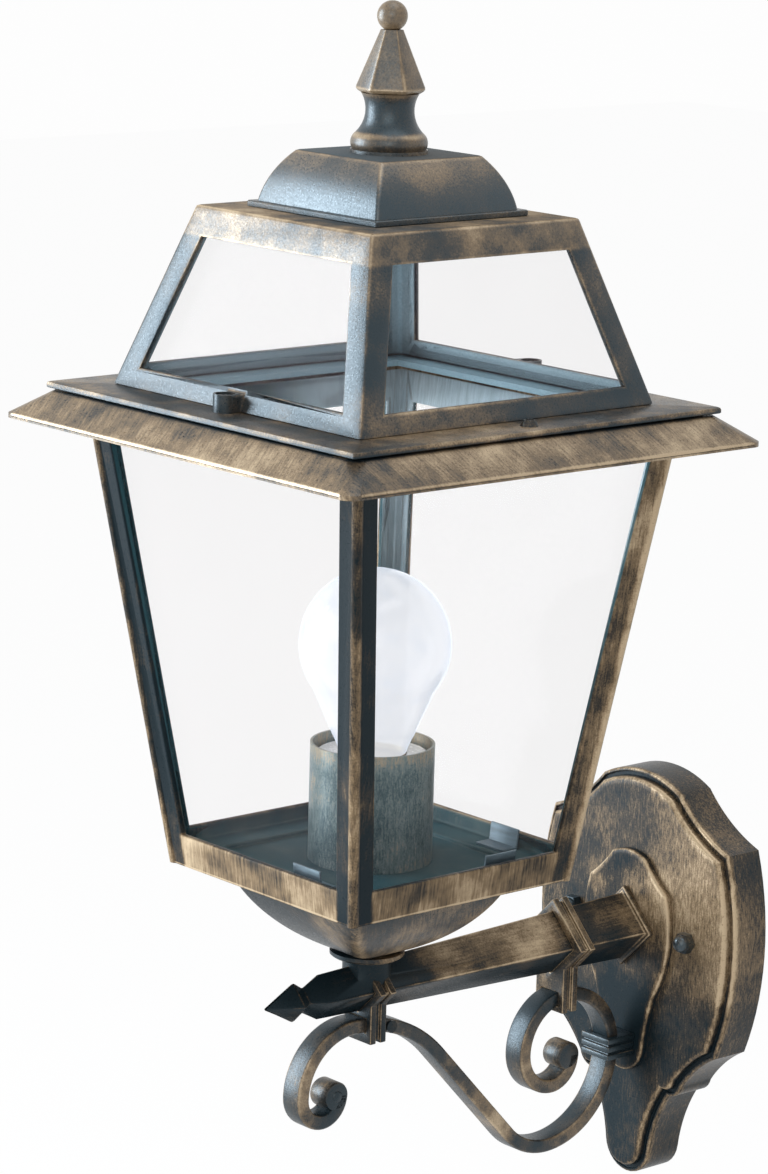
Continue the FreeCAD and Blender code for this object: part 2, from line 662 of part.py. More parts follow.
def acorn_nuts():
    """Two domed hexagon nuts on the studs."""
    body = new_body("acorn_nuts")
    flats = hexagon(sketch_on(body, "XZ_Plane", PANEL_FRONT), "nut_flat / cos(30 deg)", "30", "stud_x")
    shank = pad(body, flats, "nut_tall")
    domed = sketch_on(body, "XY_Plane")
    base = f"-({PANEL_FRONT} + nut_tall)"
    bow = ("stud_x + dome_r * cos(45 deg)", f"{base} - dome_r * sin(45 deg)")
    axis = turning_line(domed, across="stud_x")
    outline(domed, [("stud_x", base), ("stud_x + dome_r", base, bow), ("stud_x", f"{base} - dome_r")])
    dome = revolve(body, domed, axis)
    bore = pocket(body, disc(sketch_on(body, "XZ_Plane", PANEL_FRONT), "stud_r", "stud_x"), "nut_tall", ahead=True)
    mirror(body, [shank, dome, bore], "YZ_Plane")
    return keep(body)


def wire_grommet():
    """Rubber bush where the wires pass the panel."""
    body = new_body("wire_grommet")
    pad(body, disc(sketch_on(body, "XZ_Plane", HOLLOW_DEEP), "grommet_r"), f"{PANEL_FRONT} - {HOLLOW_DEEP}")
    pad(body, disc(sketch_on(body, "XZ_Plane", HOLLOW_DEEP), "grommet_lip"), "grommet_lip_thick", back=True)
    pocket(body, disc(sketch_on(body, "XZ_Plane"), "wire_r"), ahead=True)
    return keep(body)


def terminal_block():
    """Connector block on the hollow's inner face."""
    block = DOC.addObject("Part::Box", "terminal_block")
    block.Label = "terminal_block"
    block.setExpression("Length", cells("block_long"))
    block.setExpression("Width", cells("block_deep"))
    block.setExpression("Height", cells("block_tall"))
    block.setExpression("Placement.Base.x", cells("-block_long / 2"))
    block.setExpression("Placement.Base.y", cells(f"-{HOLLOW_DEEP}"))
    block.setExpression("Placement.Base.z", cells("block_z"))
    return keep(block)


def arm_screws():
    """Two screws from behind, through the panel and the plaque into the arm's foot."""
    body = new_body("arm_screws")
    heads = pair_of_discs(sketch_on(body, "XZ_Plane", HOLLOW_DEEP), "arm_screw_head", "arm_screw_x")
    pad(body, heads, "arm_screw_head_tall", back=True)
    shanks = pair_of_discs(sketch_on(body, "XZ_Plane", HOLLOW_DEEP), "arm_screw_r", "arm_screw_x")
    pad(body, shanks, f"{PLAQUE_FRONT} - {HOLLOW_DEEP} + arm_screw_grip")
    return keep(body)


def arm_bar():
    """Tapered bar on its corner with a foot, a spear point and the boss that carries the lantern."""
    body = new_body("arm_bar")
    pad(body, diamond(sketch_on(body, "XZ_Plane", PLAQUE_FRONT), "foot_half"), "foot_thick")
    bar_end_at = "(reach + bar_ahead)"
    neck_at = f"({bar_end_at} + pinch_long)"
    barb_at = f"({neck_at} + barb_long)"
    stations = (
        (BAR_ROOT_AT, "bar_root"),
        (bar_end_at, "bar_end"),
        (neck_at, "pinch_half"),
        (barb_at, "barb_half"),
        (f"{barb_at} + spear_long", "spear_flat"),
    )
    loft(body, [diamond(sketch_on(body, "XZ_Plane", at), half) for at, half in stations])
    boss = disc(sketch_on(body, "XY_Plane", "-boss_root"), "boss_r", along="-reach")
    pad(body, boss, "boss_root + boss_top")
    seat = disc(sketch_on(body, "XY_Plane", "boss_top"), "tube_r", along="-reach")
    pocket(body, seat, "tube_sunk")
    wires = disc(sketch_on(body, "XZ_Plane", PLAQUE_FRONT), "wire_r")
    pocket(body, wires, f"reach - {PLAQUE_FRONT}", ahead=True)
    threads = pair_of_discs(sketch_on(body, "XZ_Plane", PLAQUE_FRONT), "arm_screw_r", "arm_screw_x")
    pocket(body, threads, "arm_screw_grip", ahead=True)
    return keep(body)


class ScrollRoute:
    """The middle line of the scroll bar: tangent arcs and one straight run, from the front end to the rear."""

    def __init__(self):
        """Work out the run that makes the scroll span from the lantern to the wall collar."""
        turn = "(sweep_turn * 1 deg)"
        bends = "(sweep_r + dip_r)"
        span = f"(reach + crest_ahead - {UPRIGHT_AT})"
        self.rise = f"{bends} * (1 - cos{turn})"
        self.run = (f"(({span} - {bends} * sin{turn} - {self.rise} - crest_drop + loop_drop + loop_back)"
                    f" / (cos{turn} + sin{turn}))")
        self.low = f"(crest_drop + {self.rise} + {self.run} * sin{turn})"
        self.climb = f"({self.low} - loop_drop - loop_back)"
        self.start = ("-(reach + crest_ahead) + curl_in + curl_under - curl_over",
                      "-crest_drop + curl_in - curl_under - curl_over")
        self.steps = (
            ("curl_in", -90), ("curl_under", -90), ("curl_over", -90), ("sweep_r", -value("sweep_turn")),
            (self.run, 0), ("dip_r", value("sweep_turn")), (self.climb, 90), ("loop_back", 90),
            ("loop_front", 90), ("loop_under", 90), ("loop_in", 90),
        )
        self.finish = (f"-({UPRIGHT_AT}) - loop_back - loop_front + loop_under + loop_in",
                       "-loop_drop - loop_front - loop_under + loop_in")

    def height_at(self, behind_crest):
        """Height of the long sweep's middle line a distance behind the front crest."""
        return f"(-crest_drop - sweep_r + sqrt(sweep_r ^ 2 - ({behind_crest}) ^ 2))"

    def draw(self, sketch):
        """Draw the route from its start, heading down, and tie it to the sheet."""
        place = point(self.start)
        heading = -90.0
        ends = []
        for size, turn in self.steps:
            item, place, first, last = self.draw_step(sketch, place, heading, size, turn)
            heading += turn
            ends.append((item, first, last, heading, turn))
        first_arc = ends[0]
        pin(sketch, first_arc[0], first_arc[1], *self.start)
        sketch.addConstraint(Sketcher.Constraint("Horizontal", first_arc[0], 3, first_arc[0], first_arc[1]))
        for (item, _, last, heading, turn), after in zip(ends, ends[1:] + [None]):
            if turn and abs(heading / 90 - round(heading / 90)) < TOUCH:
                level = "Horizontal" if round(heading / 90) % 2 else "Vertical"
                sketch.addConstraint(Sketcher.Constraint(level, item, 3, item, last))
            if after:
                sketch.addConstraint(Sketcher.Constraint("Tangent", item, last, after[0], after[1]))
        return sketch

    def draw_step(self, sketch, place, heading, size, turn):
        """Draw one arc or the straight run; give the item, where it ends and its end numbers."""
        ahead = FreeCAD.Vector(math.cos(math.radians(heading)), math.sin(math.radians(heading)), 0)
        length = value(size)
        if not turn:
            finish = place + ahead * length
            line = sketch.addGeometry(Part.LineSegment(place, finish))
            for kind, share in (("DistanceX", "cos"), ("DistanceY", "-sin")):
                text = f"{size} * {share}(sweep_turn * 1 deg)"
                bind(sketch, Sketcher.Constraint(kind, line, 1, line, 2, value(text)), text)
            return line, finish, 1, 2
        side = math.copysign(1, turn)
        centre = place + FreeCAD.Vector(-ahead.y, ahead.x, 0) * (side * length)
        arm = place - centre
        middle, finish = (centre + self.swing(arm, turn * share) for share in (0.5, 1))
        arc = sketch.addGeometry(Part.Arc(place, middle, finish))
        bind(sketch, Sketcher.Constraint("Radius", arc, length), size)
        return (arc, finish, 1, 2) if turn > 0 else (arc, finish, 2, 1)

    def swing(self, arm, degrees):
        """Turn a vector in the sketch's plane."""
        return FreeCAD.Rotation(FreeCAD.Vector(0, 0, 1), degrees).multVec(arm)


def scroll_bar(route):
    """One flat bar bent into the scroll, with a round button at each end."""
    body = new_body("scroll_bar")
    line = route.draw(sketch_on(body, "YZ_Plane"))
    section = sketch_on(body, "XY_Plane", route.start[1])
    box_outline(section, "-bar_wide / 2", "bar_wide / 2",
                f"{route.start[0]} - bar_thick / 2", f"{route.start[0]} + bar_thick / 2")
    bar = body.newObject("PartDesign::AdditivePipe", "scroll_bar_bent")
    bar.Profile = section
    bar.Spine = (line, [])
    DOC.recompute()
    for across, along in (route.start, route.finish):
        button = disc(sketch_on(body, "YZ_Plane"), "button_r", f"{across} - button_r + bar_thick / 2", along)
        pad(body, button, "bar_wide", both=True)
    pip_at = f"{route.start[0]} - button_r + bar_thick / 2"
    pip = disc(sketch_on(body, "YZ_Plane"), "pip_r", pip_at, route.start[1])
    pad(body, pip, "bar_wide + 2 * pip_rise", both=True)
    hole = disc(sketch_on(body, "YZ_Plane"), "rivet_r", "-reach + rivet_ahead",
                route.height_at("crest_ahead + rivet_ahead"))
    pocket(body, hole, both=True)
    return keep(body)


def scroll_rivet(route):
    """Rivet through the scroll behind the front collar."""
    body = new_body("scroll_rivet")
    height = route.height_at("crest_ahead + rivet_ahead")
    at = "-reach + rivet_ahead"
    pad(body, disc(sketch_on(body, "YZ_Plane"), "rivet_r", at, height), "bar_wide", both=True)
    head = pad(body, disc(sketch_on(body, "YZ_Plane", "bar_wide / 2"), "rivet_head", at, height), "rivet_rise")
    mirror(body, [head], "YZ_Plane")
    return keep(body)


def collar_outline(sketch, half, under, crop, inset="0"):
    """A diamond round the arm that runs down round the scroll; a crop takes the top corner off."""
    corner = f"({half} - ({inset}) / cos(45 deg))"
    wide = f"(collar_half - ({inset}))"
    low = f"-({under} - ({inset}))"
    waist = f"-({corner} - {wide})"
    top = [("0", corner)]
    if crop:
        top = [(f"-({crop})", f"{corner} - ({crop})"), (crop, f"{corner} - ({crop})")]
    right = [(corner, "0"), (wide, waist), (wide, low)]
    left = [(f"-{across}", along) for across, along in reversed(right)]
    return outline(sketch, top + right + left)


def collar(label, middle, half, under, crop, arm, scroll):
    """Two beads and a groove round the arm and the scroll."""
    blank = new_body(label + "_blank")
    start = f"({middle} - collar_bead - collar_gap / 2)"
    layers = (
        (start, "collar_bead", "0"),
        (f"{start} + collar_bead", "collar_gap", "collar_relief"),
        (f"{start} + collar_bead + collar_gap", "collar_bead", "0"),
    )
    for at, thick, inset in layers:
        pad(blank, collar_outline(sketch_on(blank, "XZ_Plane", at), half, under, crop, inset), thick)
    pocket(blank, diamond(sketch_on(blank, "XZ_Plane"), "bar_end"), ahead=True)
    if crop:
        pocket(blank, disc(sketch_on(blank, "XY_Plane", "-boss_root"), "boss_r", along="-reach"), ahead=True)
    return keep(cut(label, cut(label + "_on_arm", blank, arm), scroll))


def wall_collar(route, scroll):
    """Ribbed clasp that holds the scroll to the plaque."""
    blank = new_body("wall_collar_blank")
    ribs = 3
    pitch = "(clasp_rib + clasp_gap)"
    middle = "(-loop_drop - loop_back)"
    low = f"({middle} - (({ribs} - 1) * {pitch} + clasp_rib) / 2)"
    back = f"-({PLAQUE_FRONT})"
    front = f"-({UPRIGHT_AT} + bar_thick / 2 + clasp_front)"
    layers = [(f"{low} + {rib} * {pitch}", "clasp_rib", "0") for rib in range(ribs)]
    layers += [(f"{low} + {rib} * {pitch} + clasp_rib", "clasp_gap", "clasp_relief") for rib in range(ribs - 1)]
    for at, tall, inset in sorted(layers, key=lambda layer: value(layer[0])):
        half = f"(clasp_half - {inset})"
        flat = box_outline(sketch_on(blank, "XY_Plane", at), f"-{half}", half, f"{front} + {inset}", back)
        pad(blank, flat, tall)
    return keep(cut("wall_collar", blank, scroll))


def neck_disc():
    """Turned disc between the boss and the bowl."""
    body = new_body("neck_disc", "reach", "boss_top")
    turned = sketch_on(body, "XZ_Plane")
    bow = ("disc_flat + (disc_r - disc_flat) * 0.55", "disc_thick / 2 * 0.27")
    outline(turned, [("tube_r", "0"), ("disc_flat", "0", bow), ("disc_r", "disc_thick / 2"),
                     ("disc_r", "disc_thick"), ("tube_r", "disc_thick")])
    revolve(body, turned)
    return keep(body)


def bottom_bowl():
    """Square bowl with four bowed sides that meet in rounded corners, hollow from above."""
    body = new_body("bottom_bowl", "reach", LANTERN_FOOT)
    right_bow = ("bowl_belly", "-bowl_tall / 2")
    left_bow = ("-bowl_belly", "-bowl_tall / 2")
    sides = outline(sketch_on(body, "XZ_Plane"), [
        ("bowl_top", "0", right_bow), ("bowl_foot", "-bowl_tall"),
        ("-bowl_foot", "-bowl_tall", left_bow), ("-bowl_top", "0")])
    pad(body, sides, "2 * bowl_top", both=True)
    spare = sketch_on(body, "YZ_Plane")
    outline(spare, [("bowl_top", "0", right_bow), ("bowl_foot", "-bowl_tall"), ("bowl_top", "-bowl_tall")])
    outline(spare, [("-bowl_top", "0", left_bow), ("-bowl_foot", "-bowl_tall"), ("-bowl_top", "-bowl_tall")])
    pocket(body, spare, both=True)
    dress_edges(body, "Fillet", corner_edges(body), "bowl_round")
    mouth = square(sketch_on(body, "XY_Plane"), "bowl_top - bowl_lip")
    well = square(sketch_on(body, "XY_Plane", "-bowl_well"), "bowl_well_foot")
    loft(body, [mouth, well], hollow=True)
    pocket(body, disc(sketch_on(body, "XY_Plane"), "tube_r"))
    return keep(body)


def threaded_tube():
    """Tube that clamps the lantern to the boss and carries the wires."""
    body = new_body("threaded_tube", "reach", "boss_top")
    length = f"tube_sunk + disc_thick + bowl_tall + {FLOOR_AT} + tube_above"
    ring = disc(disc(sketch_on(body, "XY_Plane", "-tube_sunk"), "tube_r"), "tube_bore")
    pad(body, ring, length)
    return keep(body)


def tube_nut():
    """Nut that holds the sleeve and the cage down on the bowl."""
    body = new_body("tube_nut", "reach", f"{LANTERN_FOOT} + {FLOOR_AT} + sleeve_wall")
    flats = hexagon(sketch_on(body, "XY_Plane"), "tube_nut_flat / cos(30 deg)")
    pad(body, disc(flats, "tube_r"), "tube_nut_tall")
    return keep(body)


def lantern_cage():
    """One casting: floor with a ledge and a pan, bottom rail, four leaning posts with corner beads, top rail and flared skirt."""
    body = new_body("lantern_cage", "reach", LANTERN_FOOT)
    edge = f"({CAGE_TOP} - skirt_drop)"
    lip = f"({edge} - skirt_lip)"
    loft(body, [soft_square(sketch_on(body, "XY_Plane", edge), "skirt_half", "skirt_round"),
                soft_square(sketch_on(body, "XY_Plane", CAGE_TOP), "skirt_top", "skirt_round")])
    pad(body, soft_square(sketch_on(body, "XY_Plane", edge), "skirt_half", "skirt_round"), "skirt_lip", back=True)
    inner_round = "skirt_round - skirt_wall"
    loft(body, [soft_square(sketch_on(body, "XY_Plane", lip), "skirt_half - skirt_wall", inner_round),
                soft_square(sketch_on(body, "XY_Plane", "cage_tall"), "skirt_top - skirt_wall", inner_round)],
         hollow=True)
    loft(body, [square(sketch_on(body, "XY_Plane"), "cage_low"),
                square(sketch_on(body, "XY_Plane", "cage_tall"), "cage_high")])
    bead = loft(body, [corner_bead(body, "0", "cage_low"), corner_bead(body, "cage_tall", "cage_high")])
    repeat_round(body, [bead], 4)
    pad(body, square(sketch_on(body, "XY_Plane", CAGE_TOP), "seat_half"), "seat_rise")
    loft(body, [square(sketch_on(body, "XY_Plane", level), f"{cage_at(level)} - cage_wall")
                for level in ("floor_thick", EAVE_FOOT)], hollow=True)
    for plane in ("XZ_Plane", "YZ_Plane"):
        pocket(body, cage_window(sketch_on(body, plane)), both=True)
    pocket(body, square(sketch_on(body, "XY_Plane", "floor_thick"), "pan_half"), "pan_deep")
    pocket(body, square(sketch_on(body, "XY_Plane"), "floor_recess"), f"{FLOOR_AT} - floor_skin", ahead=True)
    pocket(body, disc(sketch_on(body, "XY_Plane"), "tube_r"), ahead=True)
    pocket(body, pair_of_discs(sketch_on(body, "XY_Plane", EAVE_FOOT), "screw_r", "eave_screw_x"))
    return keep(body)


def corner_bead(body, height, half):
    """Section of the bead along a corner post."""
    corner = f"{half} - bead_in"
    return disc(sketch_on(body, "XY_Plane", height), "bead_r", corner, corner)


def cage_window(sketch):
    """Opening between two posts, the bottom rail and the top rail."""
    head = "(cage_tall - lintel_tall)"
    low = f"({cage_at('rail_tall')} - post_face)"
    high = f"({cage_at(head)} - post_face)"
    return outline(sketch, [(f"-{low}", "rail_tall"), (low, "rail_tall"), (high, head), (f"-{high}", head)])


def eave_plate():
    """Flat square ring between the cage and the roof."""
    body = new_body("eave_plate", "reach", f"{LANTERN_FOOT} + {EAVE_FOOT}")
    flat = square(sketch_on(body, "XY_Plane"), "eave_half")
    pad(body, square(flat, "eave_open"), "eave_thick")
    dress_edges(body, "Fillet", edges_up_at(body, "eave_thick", "eave_half"), "eave_round")
    holes = pair_of_discs(sketch_on(body, "XY_Plane", "eave_thick"), SCREW_HOLE, "eave_screw_x")
    disc(holes, "screw_r", along=LUG_AT)
    disc(holes, "screw_r", along=f"-{LUG_AT}")
    pocket(body, holes)
    return keep(body)


def roof_frame():
    """Glazed roof frame with a top plate and a screw lug front and rear."""
    body = new_body("roof_frame", "reach", f"{LANTERN_FOOT} + {ROOF_FOOT}")
    loft(body, [square(sketch_on(body, "XY_Plane"), "roof_low"),
                square(sketch_on(body, "XY_Plane", "roof_tall"), "roof_high")])
    nose = sketch_on(body, "XY_Plane")
    inner = "-(roof_low - roof_wall)"
    tip = ("0", f"-{LUG_AT} - lug_r")
    outline(nose, [("lug_r", inner), ("-lug_r", inner), ("-lug_r", f"-{LUG_AT}", tip), ("lug_r", f"-{LUG_AT}")])
    lug = pad(body, nose, "lug_tall")
    mirror(body, [lug], "XZ_Plane")
    ceiling = "(roof_tall - roof_skin)"
    loft(body, [square(sketch_on(body, "XY_Plane", level), f"{roof_at(level)} - roof_wall")
                for level in ("0", ceiling)], hollow=True)
    for plane in ("XZ_Plane", "YZ_Plane"):
        pocket(body, roof_window(sketch_on(body, plane)), both=True)
    seats = sketch_on(body, "XY_Plane", "lug_tall")
    holes = sketch_on(body, "XY_Plane", "lug_tall")
    for at in (LUG_AT, f"-{LUG_AT}"):
        disc(seats, "screw_head + hole_play", along=at)
        disc(holes, SCREW_HOLE, along=at)
    pocket(body, seats, "lug_sink")
    pocket(body, holes)
    pocket(body, disc(sketch_on(body, "XY_Plane", "roof_tall"), "rod_r + hole_play"), "roof_skin")
    return keep(body)


def roof_window(sketch):
    """Opening in a roof slope."""
    head = "(roof_tall - roof_head)"
    low = f"({roof_at('roof_sill')} - roof_bar)"
    high = f"({roof_at(head)} - roof_bar)"
    return outline(sketch, [(f"-{low}", "roof_sill"), (low, "roof_sill"), (high, head), (f"-{high}", head)])


def pane(label, turn, up, levels, face_at, frame_wall, frame_bar):
    """Leaning sheet of glass behind a window, built for the front and turned to its side."""
    body = new_body(label, "reach", up)
    body.Placement.Rotation = FreeCAD.Rotation(FreeCAD.Vector(0, 0, 1), turn)
    ends = []
    for level in levels:
        half = f"({face_at(level)} - {frame_bar} + glass_lap)"
        face = f"-({face_at(level)} - {frame_wall})"
        ends.append(box_outline(sketch_on(body, "XY_Plane", level), f"-{half}", half, face, f"{face} + glass"))
    loft(body, ends)
    return keep(body)


def panes():
    """Four sheets in the body and four in the roof."""
    sides = (("front", 0), ("right", 90), ("rear", 180), ("left", 270))
    for side, turn in sides:
        pane("body_pane_" + side, turn, LANTERN_FOOT, ("floor_thick", f"{CAGE_TOP} - pane_clear"),
             cage_at, "cage_wall", "post_face")
    for side, turn in sides:
        pane("roof_pane_" + side, turn, f"{LANTERN_FOOT} + {ROOF_FOOT}",
             ("0", "roof_tall - roof_skin - pane_clear"), roof_at, "roof_wall", "roof_bar")


def pane_clips():
    """Bent strips on the ledge, one to a side, that hold the foot of each body pane."""
    body = new_body("pane_clips", "reach", LANTERN_FOOT)
    foot = "floor_thick"
    sole = "(floor_thick + clip_thick)"

    def pane_back(level):
        return f"({cage_at(level)} - cage_wall - glass)"

    def bent_strip(sketch, out):
        heel = f"{out}({pane_back(sole)} - clip_thick)"
        toe = f"{out}({pane_back(sole)} - clip_thick - clip_foot)"
        return outline(sketch, [
            (f"{out}{pane_back(foot)}", foot), (f"{out}{pane_back('clip_tall')}", "clip_tall"),
            (f"{out}({pane_back('clip_tall')} - clip_thick)", "clip_tall"), (heel, sole), (toe, sole), (toe, foot)])

    front = bent_strip(sketch_on(body, "YZ_Plane", "clip_x - clip_wide / 2"), "-")
    mirror(body, [pad(body, front, "clip_wide")], "XZ_Plane")
    right = bent_strip(sketch_on(body, "XZ_Plane", "-(clip_x + clip_wide / 2)"), "")
    mirror(body, [pad(body, right, "clip_wide")], "YZ_Plane")
    return keep(body)


def upright_screws(label, plane, at, up, drop):
    """Two upright screws either side of the lantern axis, with their heads' undersides at a height."""
    body = new_body(label, "reach", up)
    turned = sketch_on(body, plane)
    axis = turning_line(turned, across=at)
    outline(turned, [(at, f"-({drop})"), (f"{at} + screw_r", f"-({drop})"), (f"{at} + screw_r", "0"),
                     (f"{at} + screw_head", "0"), (f"{at} + screw_head", "screw_head_tall * 0.55"),
                     (f"{at} + screw_head * 0.6", "screw_head_tall"), (at, "screw_head_tall")])
    screw = revolve(body, turned, axis)
    mirror(body, [screw], "YZ_Plane" if plane == "XZ_Plane" else "XZ_Plane")
    return keep(body)


def roof_cap():
    """Hollow square cap with four bowed sides and a flange, on the roof's top plate."""
    body = new_body("roof_cap", "reach", f"{LANTERN_FOOT} + {ROOF_TOP}")
    right_bow = ("cap_belly", "(cap_flange_thick + cap_tall) / 2")
    left_bow = ("-cap_belly", "(cap_flange_thick + cap_tall) / 2")
    sides = outline(sketch_on(body, "XZ_Plane"), [
        ("cap_low", "cap_flange_thick", right_bow), ("cap_high", "cap_tall"),
        ("-cap_high", "cap_tall", left_bow), ("-cap_low", "cap_flange_thick")])
    pad(body, sides, "2 * cap_low", both=True)
    spare = sketch_on(body, "YZ_Plane")
    outline(spare, [("cap_low", "cap_flange_thick", right_bow), ("cap_high", "cap_tall"), ("cap_low", "cap_tall")])
    outline(spare, [("-cap_low", "cap_flange_thick", left_bow), ("-cap_high", "cap_tall"), ("-cap_low", "cap_tall")])
    pocket(body, spare, both=True)
    pad(body, square(sketch_on(body, "XY_Plane"), "cap_flange"), "cap_flange_thick")
    loft(body, [square(sketch_on(body, "XY_Plane"), "cap_low - cap_wall"),
                square(sketch_on(body, "XY_Plane", "cap_tall - cap_wall"), "cap_high - cap_wall")], hollow=True)
    pocket(body, disc(sketch_on(body, "XY_Plane", "cap_tall"), "rod_r + hole_play"))
    return keep(body)


def finial_washer():
    """Flat washer under the finial."""
    body = new_body("finial_washer", "reach", f"{LANTERN_FOOT} + {CAP_TOP}")
    pad(body, disc(disc(sketch_on(body, "XY_Plane"), "washer_r"), "rod_r + hole_play"), "washer_thick")
    return keep(body)


def finial():
    """Turned foot and waist, six-sided cone and ball in one casting."""
    body = new_body("finial", "reach", f"{LANTERN_FOOT} + {FINIAL_FOOT}")
    foot = sketch_on(body, "XZ_Plane")
    outline(foot, [("0", "0"), ("finial_base", "0", ("finial_bulge", "finial_bulge_z")),
                   ("finial_brow", "finial_brow_z", ("finial_waist", "finial_waist_z")),
                   ("finial_flare", "finial_flare_z"), ("0", "finial_flare_z")])
    revolve(body, foot)
    cone = (("finial_flare_z", "cone_low"), ("cone_half_z", "cone_half"), ("cone_top_z", "cone_top"))
    loft(body, [hexagon(sketch_on(body, "XY_Plane", height), radius, "cone_turn") for height, radius in cone])
    ball = sketch_on(body, "XZ_Plane")
    outline(ball, [("0", "ball_z - ball_r", ("ball_r", "ball_z")), ("0", "ball_z + ball_r")])
    revolve(body, ball)
    pocket(body, disc(sketch_on(body, "XY_Plane"), "rod_r"), "rod_up", ahead=True)
    return keep(body)


def finial_stud():
    """Rod from the finial down through the cap and the roof's top plate."""
    rod = DOC.addObject("Part::Cylinder", "finial_stud")
    rod.Label = "finial_stud"
    rod.setExpression("Radius", cells("rod_r"))
    rod.setExpression("Height", cells("rod_up + washer_thick + cap_tall + roof_skin + rod_down"))
    rod.setExpression("Placement.Base.y", cells("-reach"))
    rod.setExpression("Placement.Base.z", cells(f"{LANTERN_FOOT} + {ROOF_TOP} - roof_skin - rod_down"))
    return keep(rod)


def finial_nut():
    """Nut on the stud under the roof's top plate."""
    body = new_body("finial_nut", "reach", f"{LANTERN_FOOT} + {ROOF_TOP} - roof_skin - rod_nut_tall")
    flats = hexagon(sketch_on(body, "XY_Plane"), "rod_nut_flat / cos(30 deg)")
    pad(body, disc(flats, "rod_r"), "rod_nut_tall")
    return keep(body)


def holder_sleeve():
    """Drawn metal cup round the lampholder."""
    body = new_body("holder_sleeve", "reach", f"{LANTERN_FOOT} + {FLOOR_AT}")
    inner = "sleeve_r - sleeve_wall"
    turned = sketch_on(body, "XZ_Plane")
    outline(turned, [("tube_r", "0"), ("sleeve_r", "0"), ("sleeve_r", "sleeve_tall"), (inner, "sleeve_tall"),
                     (inner, "sleeve_wall"), ("tube_r", "sleeve_wall")])
    revolve(body, turned)
    return keep(body)


def lampholder():
    """Screw lampholder with a wide rim, on the tube above its nut."""
    body = new_body("lampholder", "reach", f"{LANTERN_FOOT} + {FLOOR_AT} + sleeve_wall + tube_nut_tall")
    turned = sketch_on(body, "XZ_Plane")
    rim_foot = "holder_tall - holder_rim_tall"
    outline(turned, [("tube_r", "0"), ("holder_r", "0"), ("holder_r", rim_foot), ("holder_rim", rim_foot),
                     ("holder_rim", "holder_tall"), ("holder_bore", "holder_tall"),
                     ("holder_bore", "holder_floor"), ("tube_r", "holder_floor")])
    revolve(body, turned)
    return keep(body)


def bulb():
    """Sealed lamp with a screw cap, a neck and a round globe."""
    foot = f"{LANTERN_FOOT} + {FLOOR_AT} + sleeve_wall + tube_nut_tall + holder_floor"
    body = new_body("bulb", "reach", foot)
    turned = sketch_on(body, "XZ_Plane")
    shoulder_z = "bulb_r_z - sqrt(bulb_r ^ 2 - bulb_shoulder ^ 2)"
    outline(turned, [("0", "0"), ("bulb_tip", "0"), ("bulb_cap", "bulb_cap_low"), ("bulb_cap", "bulb_cap_tall"),
                     ("bulb_neck", "bulb_neck_z"), ("bulb_shoulder", shoulder_z, ("bulb_r", "bulb_r_z")),
                     ("0", "bulb_r_z + bulb_r")])
    revolve(body, turned)
    return keep(body)


def build():
    """Make every sub-part."""
    fill_sheet()
    wall_plate()
    plaque()
    mounting_strap()
    strap_studs()
    acorn_nuts()
    wire_grommet()
    terminal_block()
    arm_screws()
    arm = arm_bar()
    route = ScrollRoute()
    scroll = scroll_bar(route)
    scroll_rivet(route)
    front_under = f"(-{route.height_at('crest_ahead + collar_bead')} + bar_thick / 2 + collar_under)"
    collar("front_collar", "reach", "front_collar_half", front_under, "front_collar_crop", arm, scroll)
    collar("rear_collar", f"({UPRIGHT_AT} + loop_back + rear_collar_back)", "rear_collar_half",
           "(loop_drop + bar_thick / 2 + collar_under)", "", arm, scroll)
    wall_collar(route, scroll)
    neck_disc()
    bottom_bowl()
    threaded_tube()
    tube_nut()
    lantern_cage()
    eave_plate()
    roof_frame()
    panes()
    pane_clips()
    upright_screws("eave_screws", "XZ_Plane", "eave_screw_x", f"{LANTERN_FOOT} + {ROOF_FOOT}", "eave_screw_long")
    upright_screws("roof_screws", "YZ_Plane", LUG_AT, f"{LANTERN_FOOT} + {ROOF_FOOT} + lug_tall - lug_sink",
                   "roof_screw_long")
    roof_cap()
    finial_washer()
    finial()
    finial_stud()
    finial_nut()
    holder_sleeve()
    lampholder()
    bulb()


def check():
    """Stop if any object failed or any sub-part's shape is empty or faulty."""
    DOC.recompute()
    for item in DOC.Objects:
        if "Invalid" in item.State or "Error" in item.State:
            raise RuntimeError(f"{item.Label} did not build: {item.State}")
    for piece in SUB_PARTS:
        if piece.Shape.isNull() or not piece.Shape.isValid() or not piece.Shape.Solids:
            raise RuntimeError(f"{piece.Label} has no sound shape")


def write():
    """Write each sub-part to its own file."""
    os.makedirs("parts", exist_ok=True)
    for piece in SUB_PARTS:
        piece.Shape.exportStep(os.path.join("parts", piece.Label + ".step"))
        print(f"{piece.Label}: {len(piece.Shape.Solids)} solids, {piece.Shape.Volume / 1000:.2f} cm3")


build()
check()
write()
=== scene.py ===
"""Looks of a square coach lantern on a scroll bracket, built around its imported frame."""
import logging
import math
from collections.abc import Callable, Mapping, Sequence
from dataclasses import dataclass, field
from enum import Enum
from typing import Protocol

import bmesh
import bpy
from mathutils import Euler, Matrix, Vector


